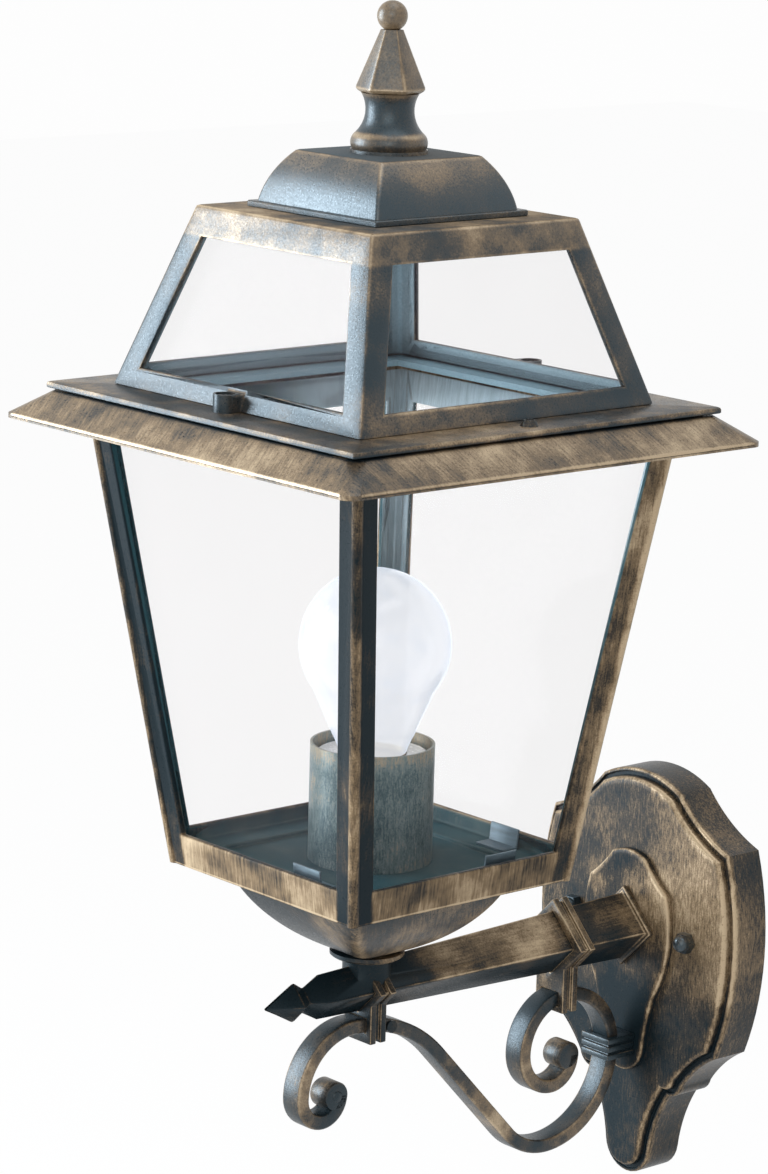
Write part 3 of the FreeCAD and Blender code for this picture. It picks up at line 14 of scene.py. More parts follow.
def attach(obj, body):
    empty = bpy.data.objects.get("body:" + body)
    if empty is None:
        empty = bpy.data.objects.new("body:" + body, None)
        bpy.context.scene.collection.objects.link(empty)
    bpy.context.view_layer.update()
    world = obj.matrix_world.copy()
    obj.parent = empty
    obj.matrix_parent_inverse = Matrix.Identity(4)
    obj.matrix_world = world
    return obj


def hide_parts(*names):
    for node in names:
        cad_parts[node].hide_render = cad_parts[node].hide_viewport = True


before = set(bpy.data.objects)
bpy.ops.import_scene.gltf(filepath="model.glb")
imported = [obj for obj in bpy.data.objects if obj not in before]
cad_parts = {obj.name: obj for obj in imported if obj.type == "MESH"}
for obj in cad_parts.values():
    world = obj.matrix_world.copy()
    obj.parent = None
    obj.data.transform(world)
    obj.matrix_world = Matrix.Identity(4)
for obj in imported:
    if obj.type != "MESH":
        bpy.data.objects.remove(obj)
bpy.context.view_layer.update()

LOG = logging.getLogger("wall_lantern")
MM = 0.001
X, Y, Z = range(3)
BODY = "root"
CASTING = "antique_metal"
SIDES = ("front", "right", "rear", "left")

# Places on the lantern in metres
AXIS_Y = -0.168
FOOT_Z = 0.0477
CAGE_TOP_Z = 0.2333
EAVE_Z = 0.2395
ROOF_TOP_Z = 0.3106
CAP_TOP_Z = 0.3331

# Numbers stored on the meshes
GILT_HIGHLIGHT_AND_SHADE = "gilt_highlight_and_shade"
ALONG = "along"

# Limits for meshes
SMOOTH_ANGLE = math.radians(32)
FLAT_ANGLE = math.radians(0.6)
MERGE_DISTANCE = 1e-6
STRAIGHT = 1e-9

Colour = tuple[float, float, float]
Pair = tuple[float, float]
Triple = tuple[float, float, float]


class Term:
    """A shader value on which Python arithmetic adds Math nodes."""

    def __init__(self, tree: "Tree", socket: bpy.types.NodeSocket) -> None:
        """Wrap a socket of a tree."""
        self.tree = tree
        self.socket = socket

    def maths(self, operation: str, first: "Term | float", second: "Term | float" = 0.0) -> "Term":
        """Add one Math node.

        Args:
            operation: The node's operation.
            first: Its first value.
            second: Its second value.

        Returns:
            The node's result.
        """
        node = self.tree.node("ShaderNodeMath", {"operation": operation}, {0: first, 1: second})
        return Term(self.tree, node.outputs[0])

    def __add__(self, other: "Term | float") -> "Term":
        """Sum."""
        return self.maths("ADD", self, other)

    def __radd__(self, other: float) -> "Term":
        """Sum with the number first."""
        return self.maths("ADD", other, self)

    def __sub__(self, other: "Term | float") -> "Term":
        """Difference."""
        return self.maths("SUBTRACT", self, other)

    def __rsub__(self, other: float) -> "Term":
        """Difference with the number first."""
        return self.maths("SUBTRACT", other, self)

    def __mul__(self, other: "Term | float") -> "Term":
        """Product."""
        return self.maths("MULTIPLY", self, other)

    def __rmul__(self, other: float) -> "Term":
        """Product with the number first."""
        return self.maths("MULTIPLY", other, self)

    def __or__(self, other: "Term | float") -> "Term":
        """The larger of two values."""
        return self.maths("MAXIMUM", self, other)

    def __gt__(self, other: "Term | float") -> "Term":
        """1 where this value is the larger one, and 0 elsewhere."""
        return self.maths("GREATER_THAN", self, other)

    def __abs__(self) -> "Term":
        """The value without its sign."""
        return self.maths("ABSOLUTE", self)

    def fade(self, low: float, high: float) -> "Term":
        """Rise smoothly from 0 at low to 1 at high.

        Args:
            low: Where the rise starts.
            high: Where it ends.

        Returns:
            The eased value.
        """
        node = self.tree.node("ShaderNodeMapRange", {"interpolation_type": "SMOOTHSTEP"},
                              {0: self, 1: low, 2: high, 3: 0.0, 4: 1.0})
        return Term(self.tree, node.outputs[0])


class Tree:
    """A node tree with one method that adds any node."""

    def __init__(self, tree: bpy.types.NodeTree) -> None:
        """Wrap a node tree."""
        self.tree = tree

    def node(self, kind: str, settings: Mapping[str, object] | None = None,
             values: Mapping[str | int, object] | None = None) -> bpy.types.Node:
        """Add a node.

        Args:
            kind: The node's type.
            settings: Its properties, set first; stops are a colour ramp's places and colours.
            values: Values or links for its input sockets, by name or number.

        Returns:
            The new node.
        """
        node = self.tree.nodes.new(kind)
        for name, setting in (settings or {}).items():
            if name == "stops":
                self.set_stops(node.color_ramp, setting)
            else:
                setattr(node, name, setting)
        for name, value in (values or {}).items():
            self.feed(node.inputs[name], value)
        return node

    def set_stops(self, ramp: bpy.types.ColorRamp, stops: Sequence[tuple[float, Colour]]) -> None:
        """Give a colour ramp its stops.

        Args:
            ramp: The ramp.
            stops: Places and colours.
        """
        while len(ramp.elements) < len(stops):
            ramp.elements.new(1.0)
        for element, (place, colour) in zip(ramp.elements, stops):
            element.position = place
            element.color = (*colour, 1.0)

    def feed(self, socket: bpy.types.NodeSocket, value: object) -> None:
        """Link a socket, or set its value.

        Args:
            socket: The input socket.
            value: A Term, an output socket or a plain value.
        """
        if isinstance(value, Term):
            self.tree.links.new(value.socket, socket)
        elif isinstance(value, bpy.types.NodeSocket):
            self.tree.links.new(value, socket)
        elif socket.type == "RGBA":
            socket.default_value = (*value, 1.0) if len(value) == 3 else value
        else:
            socket.default_value = value


class Recipe(Tree):
    """A material being made round one Principled shader."""

    def __init__(self, name: str) -> None:
        """Start a material.

        Args:
            name: The material's name.
        """
        self.material = bpy.data.materials.new(name)
        self.material.use_nodes = True
        super().__init__(self.material.node_tree)
        self.tree.nodes.clear()
        self.shader = self.node("ShaderNodeBsdfPrincipled")
        self.output = self.node("ShaderNodeOutputMaterial", None, {"Surface": self.shader.outputs[0]})

    def set(self, **values: object) -> None:
        """Set or link sockets of the shader, with underscores for the spaces in their names."""
        for name, value in values.items():
            self.feed(self.shader.inputs[name.replace("_", " ")], value)

    def spot(self, stretch: Triple = (1, 1, 1)) -> Term:
        """The place on the object, stretched for a pattern.

        Args:
            stretch: Scale of each axis; a small one makes long marks along it.

        Returns:
            The place as a vector.
        """
        place = self.node("ShaderNodeTexCoord").outputs["Object"]
        return Term(self, self.node("ShaderNodeMapping", None, {"Vector": place, "Scale": stretch}).outputs[0])

    def axis(self, number: int) -> Term:
        """The place on the object along X, Y or Z in metres."""
        split = self.node("ShaderNodeSeparateXYZ", None, {0: self.spot()})
        return Term(self, split.outputs[number])

    def vector(self, x: "Term | float", y: "Term | float", z: "Term | float") -> Term:
        """Three values as a vector."""
        return Term(self, self.node("ShaderNodeCombineXYZ", None, {0: x, 1: y, 2: z}).outputs[0])

    def girth(self) -> tuple[Term, Term]:
        """How far along its side of the lantern a place is, and a mask of the two sides that face along X.

        Returns:
            The distance from the side's middle in metres, and 1 on those two sides and 0 on the others.
        """
        x = self.axis(X)
        y = self.axis(Y) - AXIS_Y
        side = abs(x) > abs(y)
        return side * y + (1 - side) * x, side

    def noise(self, spot: Term, size: float, detail: float = 3.0, rough: float = 0.55) -> Term:
        """Cloudy values.

        Args:
            spot: Where.
            size: Size of a cloud in millimetres.
            detail: Octaves of finer clouds.
            rough: Strength of the finer clouds.

        Returns:
            Values round one half.
        """
        node = self.node("ShaderNodeTexNoise", None,
                         {"Vector": spot, "Scale": 1 / (size * MM), "Detail": detail, "Roughness": rough})
        return Term(self, node.outputs[0])

    def attribute(self, name: str) -> Term:
        """A number stored on the mesh."""
        return Term(self, self.node("ShaderNodeAttribute", {"attribute_name": name}).outputs["Fac"])

    def blend(self, first: "Term | Colour", second: "Term | Colour", share: Term) -> Term:
        """Mix two colours.

        Args:
            first: Colour where the share is 0.
            second: Colour where the share is 1.
            share: How much of the second.

        Returns:
            The mixed colour.
        """
        node = self.node("ShaderNodeMix", {"data_type": "RGBA"}, {0: share, 6: first, 7: second})
        return Term(self, node.outputs[2])

    def relief(self, height: Term, depth: float, strength: float = 1.0) -> None:
        """Bump the surface.

        Args:
            height: Values from 0 to 1.
            depth: Depth of the relief in millimetres.
            strength: Strength of the bump.
        """
        bump = self.node("ShaderNodeBump", None, {"Strength": strength, "Distance": depth * MM, "Height": height})
        self.set(Normal=bump.outputs[0])


def seen_directly(tree: Tree) -> Term:
    """1 for what the camera, metal or glass shows of a surface, and 0 for the light that it gives.

    Args:
        tree: The tree of the surface's material or of the world.

    Returns:
        The mask.
    """
    path = tree.node("ShaderNodeLightPath").outputs
    seen, shiny, through = (Term(tree, path[f"Is {kind} Ray"]) for kind in ("Camera", "Glossy", "Transmission"))
    return seen | shiny | through


class Finish(Protocol):
    """What every finish has."""

    name: str

    def material(self) -> bpy.types.Material:
        """Make the material."""


class Stroke(Enum):
    """Which way the gold was brushed on."""

    UPRIGHT = "up the lantern's sides"
    SLANTED = "aslant on the lantern's sides"
    OUTWARD = "along the arm"
    DOWN = "down the wall plate"
    BAR = "along the bent bar"
    DABBED = "no one way"


@dataclass(frozen=True)
class Band:
    """Heights whose gold is set apart: gilded bands, and dark bands of painted shade; clear of corner posts of a width
    in millimetres.
    """

    low: float
    high: float
    cover: float
    post: float = 0.0


@dataclass(frozen=True)
class Drift:
    """Gold that grows along one axis, or shrinks where more is negative; on some pieces the darker end is painted
    shade.
    """

    axis: int
    start: float
    end: float
    more: float


@dataclass(frozen=True)
class Lean:
    """Half width of the lantern's walls, straight between two heights."""

    low: float
    low_half: float
    high: float
    high_half: float

    def at(self, height: Term) -> Term:
        """The half width at a height."""
        slope = (self.high_half - self.low_half) / (self.high - self.low)
        return height * slope + (self.low_half - self.low * slope)


@dataclass(frozen=True)
class AntiqueMetal:
    """Satin black castings with gold brushed over the faces and rubbed on the edges, with painted shade, painted
    highlight and painted reflection in places.
    """

    name: str
    stroke: Stroke = Stroke.DABBED
    cover: float = 0.3
    bands: tuple[Band, ...] = ()
    drifts: tuple[Drift, ...] = ()
    bare_inside: Lean | None = None
    corners: Lean | None = None
    streaky: float = 0.9
    cloudy: float = 0.8
    gloss: float = 0.42
    sheen: Colour = (0.70, 0.88, 1.0)
    shades: tuple[tuple[float, Colour], ...] = ((0.10, (0.008, 0.015, 0.019)), (0.36, (0.046, 0.037, 0.028)),
                                                (0.62, (0.215, 0.150, 0.086)), (0.95, (0.52, 0.40, 0.26)))
    slate: Colour = (0.035, 0.10, 0.12)
    # The pale slate and the three limits after it paint a reflection on the inner faces.
    painted_reflection_colour: Colour = (0.44, 0.60, 0.68)
    painted_reflection_above: float = 1.0
    painted_reflection_behind: float = 0.0
    painted_reflection_deep: float = -1.0
    dull_above: float = 1.0
    grain_mm: float = 0.75
    mark_mm: float = 1.1
    smudge_mm: float = 12.0
    cloud_mm: float = 44.0
    speckle: float = 0.5
    corner_rub: float = 0.42
    rough: float = 0.36

    def marks(self, mix: Recipe) -> Term:
        """Brush marks.

        Args:
            mix: The material.

        Returns:
            Values round one half, drawn out along the strokes.
        """
        sides = {Stroke.UPRIGHT: (0.08, 0.0), Stroke.SLANTED: (0.14, 0.5)}
        plain = {Stroke.OUTWARD: (1.0, 0.08, 1.0), Stroke.DOWN: (1.2, 1.2, 0.25), Stroke.DABBED: (1.2, 1.2, 1.2)}
        if self.stroke in sides:
            upward, slant = sides[self.stroke]
            along, side = mix.girth()
            height = mix.axis(Z)
            spot = mix.vector(along + height * slant, height * upward, side)
        elif self.stroke is Stroke.BAR:
            spot = mix.vector(mix.axis(X), mix.attribute(ALONG) * 0.09, 0.0)
        else:
            spot = mix.spot(plain[self.stroke])
        return mix.noise(spot, self.mark_mm, 4.0, 0.65)

    def gold_shade_and_highlight(self, mix: Recipe, grain: Term, marks: Term) -> Term:
        """How much gold shows, with painted shade and painted highlight folded in.

        Args:
            mix: The material.
            grain: The fine grain.
            marks: The brush marks.

        Returns:
            Values for the row of shades, from bare at 0 to full gold at 1.
        """
        cloud = mix.noise(mix.spot(), self.cloud_mm, 2.0, 0.5)
        smudge = mix.noise(mix.spot(), self.smudge_mm, 3.0, 0.6)
        height = mix.axis(Z)
        from_corner = height
        gold = (grain - 0.5) * self.speckle + self.cover
        for drift in self.drifts:
            gold = gold + mix.axis(drift.axis).fade(drift.start, drift.end) * drift.more
        if self.corners:
            from_corner = self.corners.at(height) - abs(mix.girth()[0])
            gold = gold + (1 - from_corner.fade(1.5 * MM, 4 * MM)) * self.corner_rub
        for band in self.bands:
            within = height.fade(band.low - MM, band.low + MM) * (1 - height.fade(band.high - MM, band.high + MM))
            if band.post:
                within = within * from_corner.fade((band.post - 1) * MM, (band.post + 1.5) * MM)
            gold = gold * (1 - within) + within * band.cover
        # Edge gold, with painted highlight on level edges and painted shade in grooves, at joins and under edges.
        gold = gold + mix.attribute(GILT_HIGHLIGHT_AND_SHADE) * (0.15 + smudge * 0.6)
        return gold + (marks - 0.5) * self.streaky + ((smudge - 0.5) + (cloud - 0.5) * 1.5) * self.cloudy

    def lining(self, mix: Recipe, marks: Term) -> tuple[Term, Term]:
        """The bare inside of the lantern, with a painted reflection: pale slate on inner faces above a height, deep
        inside and toward the rear.

        Args:
            mix: The material.
            marks: The brush marks.

        Returns:
            A mask of the inside faces, and their colour with the painted reflection.
        """
        top = self.bare_inside.high
        height = mix.axis(Z)
        rear = mix.axis(Y) - AXIS_Y
        deep = self.bare_inside.at(height) - (abs(mix.axis(X)) | abs(rear))
        inside = deep.fade(-0.3 * MM, 0.5 * MM) * (1 - height.fade(top - 1.5 * MM, top - MM))
        # Painted reflection: the pale slate stands for light mirrored in the panes over the inner faces.
        painted_reflection = height.fade(self.painted_reflection_above, self.painted_reflection_above + 20 * MM)
        painted_reflection = painted_reflection * deep.fade(self.painted_reflection_deep, self.painted_reflection_deep + MM)
        painted_reflection = painted_reflection * rear.fade(self.painted_reflection_behind, self.painted_reflection_behind + 40 * MM)
        return inside, mix.blend(self.slate, self.painted_reflection_colour, painted_reflection * (0.4 + marks * 0.9))

    def material(self) -> bpy.types.Material:
        """Make the material.

        Returns:
            The material.
        """
        mix = Recipe(self.name)
        grain = mix.noise(mix.spot(), self.grain_mm, 2.0, 0.7)
        marks = self.marks(mix)
        gold_shade_and_highlight = self.gold_shade_and_highlight(mix, grain, marks)
        tone = Term(mix, mix.node("ShaderNodeValToRGB", {"stops": self.shades}, {0: gold_shade_and_highlight}).outputs[0])
        shine = gold_shade_and_highlight.fade(0.4, 1.0) * 0.35
        dull = mix.axis(Z).fade(self.dull_above, self.dull_above + 0.4 * MM)
        if self.bare_inside:
            inside, bare = self.lining(mix, marks)
            tone = mix.blend(tone, bare, inside * 0.9)
            shine = shine * (1 - inside)
            dull = dull + inside * 0.65
        mix.set(Base_Color=tone, Metallic=shine, Specular_IOR_Level=self.gloss, Specular_Tint=self.sheen,
                Roughness=self.rough + (grain - 0.5) * 0.6 + dull * 0.5)
        mix.relief(grain * 0.8 + marks * 0.2, 0.08, 0.8)
        return mix.material


@dataclass(frozen=True)
class ClearGlass:
    """Clear sheet that darkens what is behind it a little, with a sheen at a low angle."""

    name: str = "clear_glass"
    tint: Colour = (0.24, 0.16, 0.175)

    def material(self) -> bpy.types.Material:
        """Make the material.

        Returns:
            The material.
        """
        mix = Recipe(self.name)
        haze = mix.noise(mix.spot(), 60.0, 2.0)
        sheen = Term(mix, mix.node("ShaderNodeLayerWeight", None, {"Blend": 0.35}).outputs["Fresnel"])
        mix.set(Base_Color=self.tint, Roughness=0.04 + haze * 0.04, Alpha=0.008 + sheen * 0.03 + haze * 0.01)
        return mix.material


@dataclass(frozen=True)
class BulbGlass:
    """Pale frosted glass, thin in the middle and denser at the outline, with a painted glow that stands in for the
    light on it.
    """

    name: str = "bulb_glass"
    middle: Colour = (0.30, 0.31, 0.33)
    outline: Colour = (0.20, 0.24, 0.30)
    # The glow colours and strength paint light onto the unlit bulb.
    middle_painted_glow: Colour = (0.92, 0.94, 0.98)
    outline_painted_glow: Colour = (0.60, 0.68, 0.80)
    glow: float = 0.74

    def material(self) -> bpy.types.Material:
        """Make the material.

        Returns:
            The material.
        """
        mix = Recipe(self.name)
        frost = mix.noise(mix.spot(), 14.0, 3.0)
        edge = Term(mix, mix.node("ShaderNodeLayerWeight", None, {"Blend": 0.45}).outputs["Facing"])
        rim = edge.fade(0.4, 0.97) * 0.75 + frost.fade(0.45, 0.7) * 0.25
        mix.set(Base_Color=mix.blend(self.middle, self.outline, rim), Roughness=0.12 + frost * 0.08,
                Alpha=0.72 + rim * 0.12 + frost * 0.1, Emission_Strength=self.glow,
                Emission_Color=mix.blend(self.middle_painted_glow, self.outline_painted_glow, rim))
        return mix.material


@dataclass(frozen=True)
class PlainMetal:
    """Bare or plated metal with fine marks."""

    name: str
    colour: Colour
    dark: Colour
    stretch: Triple = (0.7, 0.7, 0.7)
    metallic: float = 0.85
    rough: float = 0.38

    def material(self) -> bpy.types.Material:
        """Make the material.

        Returns:
            The material.
        """
        mix = Recipe(self.name)
        marks = mix.noise(mix.spot(self.stretch), 1.6, 4.0, 0.65)
        cloud = mix.noise(mix.spot(), 11.0, 3.0)
        share = (marks * 0.7 + cloud * 0.5).fade(0.4, 0.8)
        mix.set(Base_Color=mix.blend(self.dark, self.colour, share), Metallic=self.metallic,
                Roughness=self.rough + marks * 0.15)
        mix.relief(marks, 0.05, 0.3)
        return mix.material


@dataclass(frozen=True)
class Moulded:
    """Plain moulded or glazed ware with slight unevenness."""

    name: str
    colour: Colour
    shade: Colour
    rough: float = 0.4
    grain_mm: float = 1.2

    def material(self) -> bpy.types.Material:
        """Make the material.

        Returns:
            The material.
        """
        mix = Recipe(self.name)
        grain = mix.noise(mix.spot(), self.grain_mm, 2.0)
        cloud = mix.noise(mix.spot(), 12.0, 3.0)
        mix.set(Base_Color=mix.blend(self.shade, self.colour, cloud.fade(0.25, 0.6)),
                Roughness=self.rough + grain * 0.12)
        mix.relief(grain, 0.04, 0.25)
        return mix.material


GLASS = ClearGlass()
ZINC = PlainMetal("zinc_steel", (0.62, 0.62, 0.6), (0.4, 0.4, 0.39))


@dataclass
class Shell:
    """A mesh being made of rings joined by bands of faces."""

    points: list[Vector] = field(default_factory=list)
    faces: list[tuple[int, ...]] = field(default_factory=list)
    gilt_highlight_and_shade: list[float] = field(default_factory=list)

    def ring(self, points: Sequence[Vector], gilt_highlight_and_shade: float | Sequence[float] = 0.0) -> list[int]:
        """Add a ring of points.

        Args:
            points: The points.
            gilt_highlight_and_shade: How much gold is rubbed on, for the ring or for each point; high values also paint
                highlight and negative ones paint shade.

        Returns:
            The points' numbers.
        """
        start = len(self.points)
        self.points.extend(points)
        self.gilt_highlight_and_shade.extend([gilt_highlight_and_shade] * len(points) if isinstance(gilt_highlight_and_shade, (int, float)) else gilt_highlight_and_shade)
        return list(range(start, start + len(points)))

    def band(self, first: Sequence[int], second: Sequence[int]) -> None:
        """Join two rings that have equally many points.

        Args:
            first: Numbers of one ring's points.
            second: Numbers of the other's.
        """
        for here, corner in enumerate(first):
            after = (here + 1) % len(first)
            self.faces.append((corner, first[after], second[after], second[here]))

    def loft(self, rings: Sequence[Sequence[Vector]], gilt_highlight_and_shade: Sequence[float | Sequence[float]] | float = 0.0,
             closed: bool = False) -> None:
        """Join a row of rings and close its ends, or join the last to the first.

        Args:
            rings: Rings of equal length.
            gilt_highlight_and_shade: Gold on the rings, with painted highlight and painted shade, one value for all or
                one each.
            closed: Whether the row runs back into itself.
        """
        shares = [gilt_highlight_and_shade] * len(rings) if isinstance(gilt_highlight_and_shade, (int, float)) else gilt_highlight_and_shade
        numbers = [self.ring(ring, share) for ring, share in zip(rings, shares)]
        for first, second in zip(numbers, numbers[1:]):
            self.band(first, second)
        if closed:
            self.band(numbers[-1], numbers[0])
        else:
            self.faces.append(tuple(numbers[0]))
            self.faces.append(tuple(numbers[-1]))

    def mesh(self, name: str) -> bpy.types.Mesh:
        """Turn the rings into a mesh with its faces outwards and its gold, painted highlight and painted shade stored
        by point.

        Args:
            name: The mesh's name.

        Returns:
            The mesh.
        """
        mesh = bpy.data.meshes.new(name)
        mesh.from_pydata([tuple(point) for point in self.points], [], self.faces)
        stored = mesh.attributes.new(GILT_HIGHLIGHT_AND_SHADE, "FLOAT", "POINT")
        stored.data.foreach_set("value", self.gilt_highlight_and_shade)
        work = bmesh.new()
        work.from_mesh(mesh)
        bmesh.ops.recalc_face_normals(work, faces=work.faces)
        work.to_mesh(mesh)
        work.free()
        return mesh


def arc(start: Pair, through: Pair, finish: Pair, steps: int) -> list[Pair]:
    """Points on the circle through three points.

    Args:
        start: First point.
        through: A point between.
        finish: Last point.
        steps: Number of steps.

    Returns:
        The points from the first to the last.
    """
    (ax, ay), (bx, by), (cx, cy) = start, through, finish
    turn = 2 * (ax * (by - cy) + bx * (cy - ay) + cx * (ay - by))
    if abs(turn) < STRAIGHT:
        return [(ax + (cx - ax) * step / steps, ay + (cy - ay) * step / steps) for step in range(steps + 1)]
    squares = (ax * ax + ay * ay, bx * bx + by * by, cx * cx + cy * cy)
    ox = (squares[0] * (by - cy) + squares[1] * (cy - ay) + squares[2] * (ay - by)) / turn
    oy = (squares[0] * (cx - bx) + squares[1] * (ax - cx) + squares[2] * (bx - ax)) / turn
    radius = math.hypot(ax - ox, ay - oy)
    begin, middle, end = (math.atan2(y - oy, x - ox) for x, y in (start, through, finish))
    sweep = (end - begin) % math.tau
    if (middle - begin) % math.tau > sweep:
        sweep -= math.tau
    angles = [begin + sweep * step / steps for step in range(steps + 1)]
    return [(ox + radius * math.cos(angle), oy + radius * math.sin(angle)) for angle in angles]


def square_ring(half: float, height: float, corner: float, steps: int = 4) -> list[Vector]:
    """A square with rounded corners round the lantern's axis.

    Args:
        half: Half width in millimetres.
        height: Height in metres.
        corner: Corner radius in millimetres.
        steps: Steps in each corner.

    Returns:
        The points of the ring.
    """
    points = []
    for quarter in range(4):
        for step in range(steps + 1):
            angle = math.radians(90 * quarter + 90 * step / steps)
            side_x = 1 if quarter in (0, 3) else -1
            side_y = 1 if quarter in (0, 1) else -1
            x = side_x * (half - corner) + corner * math.cos(angle)
            y = side_y * (half - corner) + corner * math.sin(angle)
            points.append(Vector((x * MM, AXIS_Y + y * MM, height)))
    return points


def turned_ring(radius: float, height: float, count: int = 56) -> list[Vector]:
    """A circle round the lantern's axis.

    Args:
        radius: Radius in millimetres.
        height: Height in metres.
        count: Number of points.

    Returns:
        The points of the ring.
    """
    angles = [math.tau * step / count for step in range(count)]
    reach = radius * MM
    return [Vector((reach * math.cos(angle), AXIS_Y + reach * math.sin(angle), height)) for angle in angles]


def corner_gilt_and_highlight(amount: float, corners: int = 4, steps: int = 4) -> list[float]:
    """Gold on the corners of a ring, most in the middle of each, partly a painted highlight along the corners.

    Args:
        amount: How much gold.
        corners: Number of corners.
        steps: Steps in each corner.

    Returns:
        The gold for each point of the ring.
    """
    return [amount * (1 - abs(2 * step / steps - 1)) for step in range(steps + 1)] * corners


@dataclass
class Workshop:
    """Puts finished pieces in the scene and dresses the nodes of the frame."""

    materials: dict[str, bpy.types.Material] = field(default_factory=dict)

    def finish(self, look: Finish) -> bpy.types.Material:
        """Give a finish's material, made once.

        Args:
            look: The finish.

        Returns:
            The material.
        """
        if look.name not in self.materials:
            self.materials[look.name] = look.material()
        return self.materials[look.name]

    def dress(self, look: Finish, *nodes: str) -> None:
        """Give nodes of the frame a finish.

        Args:
            look: The finish.
            nodes: Names of the nodes.
        """
        for node in nodes:
            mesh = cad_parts[node].data
            mesh.materials.clear()
            mesh.materials.append(self.finish(look))
            LOG.info("dressed %s with %s", node, look.name)

    def place(self, name: str, mesh: bpy.types.Mesh, looks: Sequence[Finish], slot: str,
              *nodes: str) -> bpy.types.Object:
        """Put a piece in the scene in place of nodes of the frame.

        Args:
            name: The piece's name.
            mesh: Its mesh, in its place.
            looks: Its finishes.
            slot: The record's material slot; not used.
            nodes: The nodes that it stands for.

        Returns:
            The piece.
        """
        mesh.materials.clear()
        for look in looks:
            mesh.materials.append(self.finish(look))
        mesh.shade_smooth()
        mesh.set_sharp_from_angle(angle=SMOOTH_ANGLE)
        piece = bpy.data.objects.new(name, mesh)
        bpy.context.scene.collection.objects.link(piece)
        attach(piece, BODY)
        if nodes:
            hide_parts(*nodes)
        LOG.info("placed %s: %d faces", name, len(mesh.polygons))
        return piece

    def cast(self, node: str, form: Shell | bpy.types.Mesh, *looks: Finish, made: str = "casting") -> bpy.types.Object:
        """Put a metal piece in the scene in place of the node that it is named after.

        Args:
            node: The node.
            form: The piece's shell or mesh.
            looks: Its finishes.
            made: How the piece was made, for the end of its name.

        Returns:
            The piece.
        """
        name = f"{node}_{made}"
        mesh = form.mesh(name) if isinstance(form, Shell) else form
        return self.place(name, mesh, looks, CASTING, node)

    def split(self, piece: bpy.types.Object, takes_second: Callable[[Vector], bool]) -> None:
        """Give a piece's second finish to the faces whose middle passes a test."""
        for face in piece.data.polygons:
            face.material_index = int(takes_second(face.center))

    def soften(self, node: str, width: float, gilt_highlight_and_shade: Pair = (0.8, 0.8), least: float = 4.0) -> bpy.types.Mesh:
        """Copy a node's mesh and round its long sharp edges.

        Args:
            node: The node.
            width: Width of the rounding in millimetres.
            gilt_highlight_and_shade: Gold rubbed on the rounded level edges and on the upright ones; a higher value on
                the level edges paints a highlight where they catch light.
            least: Shortest edge that is rounded, in millimetres.

        Returns:
            The rounded mesh.
        """
        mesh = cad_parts[node].data.copy()
        work = bmesh.new()
        work.from_mesh(mesh)
        bmesh.ops.remove_doubles(work, verts=work.verts, dist=MERGE_DISTANCE)
        bmesh.ops.dissolve_limit(work, angle_limit=FLAT_ANGLE, verts=work.verts, edges=work.edges)
        layer = work.verts.layers.float.new(GILT_HIGHLIGHT_AND_SHADE)
        room = 1.6 * width * MM
        # Edges that face down keep a fifth of their gold: painted shade under them.
        underside, underside_shade_share = -0.3, 0.2

        def is_long_and_sharp(edge: bmesh.types.BMEdge) -> bool:
            """Whether an edge can take the rounding.

            Args:
                edge: The edge.

            Returns:
                True where the edge is long and sharp, between faces that are wide enough.
            """
            length = edge.calc_length()
            if not edge.is_manifold or length < least * MM or abs(edge.calc_face_angle()) < SMOOTH_ANGLE:
                return False
            return min(face.calc_area() for face in edge.link_faces) / length > room

        edges = [edge for edge in work.edges if is_long_and_sharp(edge)]
        rounded = bmesh.ops.bevel(work, geom=edges, offset=width * MM, offset_type="OFFSET", segments=2, profile=0.6,
                                  affect="EDGES", clamp_overlap=False)
        fresh = set(rounded["faces"])
        work.normal_update()
        for corner in rounded["verts"]:
            if all(face in fresh for face in corner.link_faces):
                longest = max(corner.link_edges, key=lambda edge: edge.calc_length())
                rise = abs(longest.verts[0].co.z - longest.verts[1].co.z)
                share = gilt_highlight_and_shade[rise > 0.5 * longest.calc_length()]
                corner[layer] = share * underside_shade_share if corner.normal.z < underside else share
        work.to_mesh(mesh)
        work.free()
        return mesh


def start_tree(name: str, inputs: Mapping[str, str], output: str) -> tuple[Tree, Mapping[str, bpy.types.NodeSocket]]:
    """Start a Geometry Nodes tree with named inputs.

    Args:
        name: The tree's name.
        inputs: The kind of each input by its label.
        output: Label of the geometry that the tree gives.

    Returns:
        The tree and the sockets of its inputs.
    """
    group = bpy.data.node_groups.new(name, "GeometryNodeTree")
    for label, kind in inputs.items():
        group.interface.new_socket(label, in_out="INPUT", socket_type="NodeSocket" + kind)
    group.interface.new_socket(output, in_out="OUTPUT", socket_type="NodeSocketGeometry")
    nodes = Tree(group)
    return nodes, nodes.node("NodeGroupInput").outputs


def end_tree(nodes: Tree, geometry: bpy.types.NodeSocket, finish: bpy.types.NodeSocket) -> bpy.types.NodeTree:
    """Make a tree's result one dressed mesh.

    Args:
        nodes: The tree.
        geometry: What it has made.
        finish: The material's socket.

    Returns:
        The finished tree.
    """
    whole = nodes.node("GeometryNodeRealizeInstances", None, {0: geometry})
    dressed = nodes.node("GeometryNodeSetMaterial", None, {"Geometry": whole.outputs[0], "Material": finish})
    nodes.node("NodeGroupOutput", None, {0: dressed.outputs[0]})
    return nodes.tree


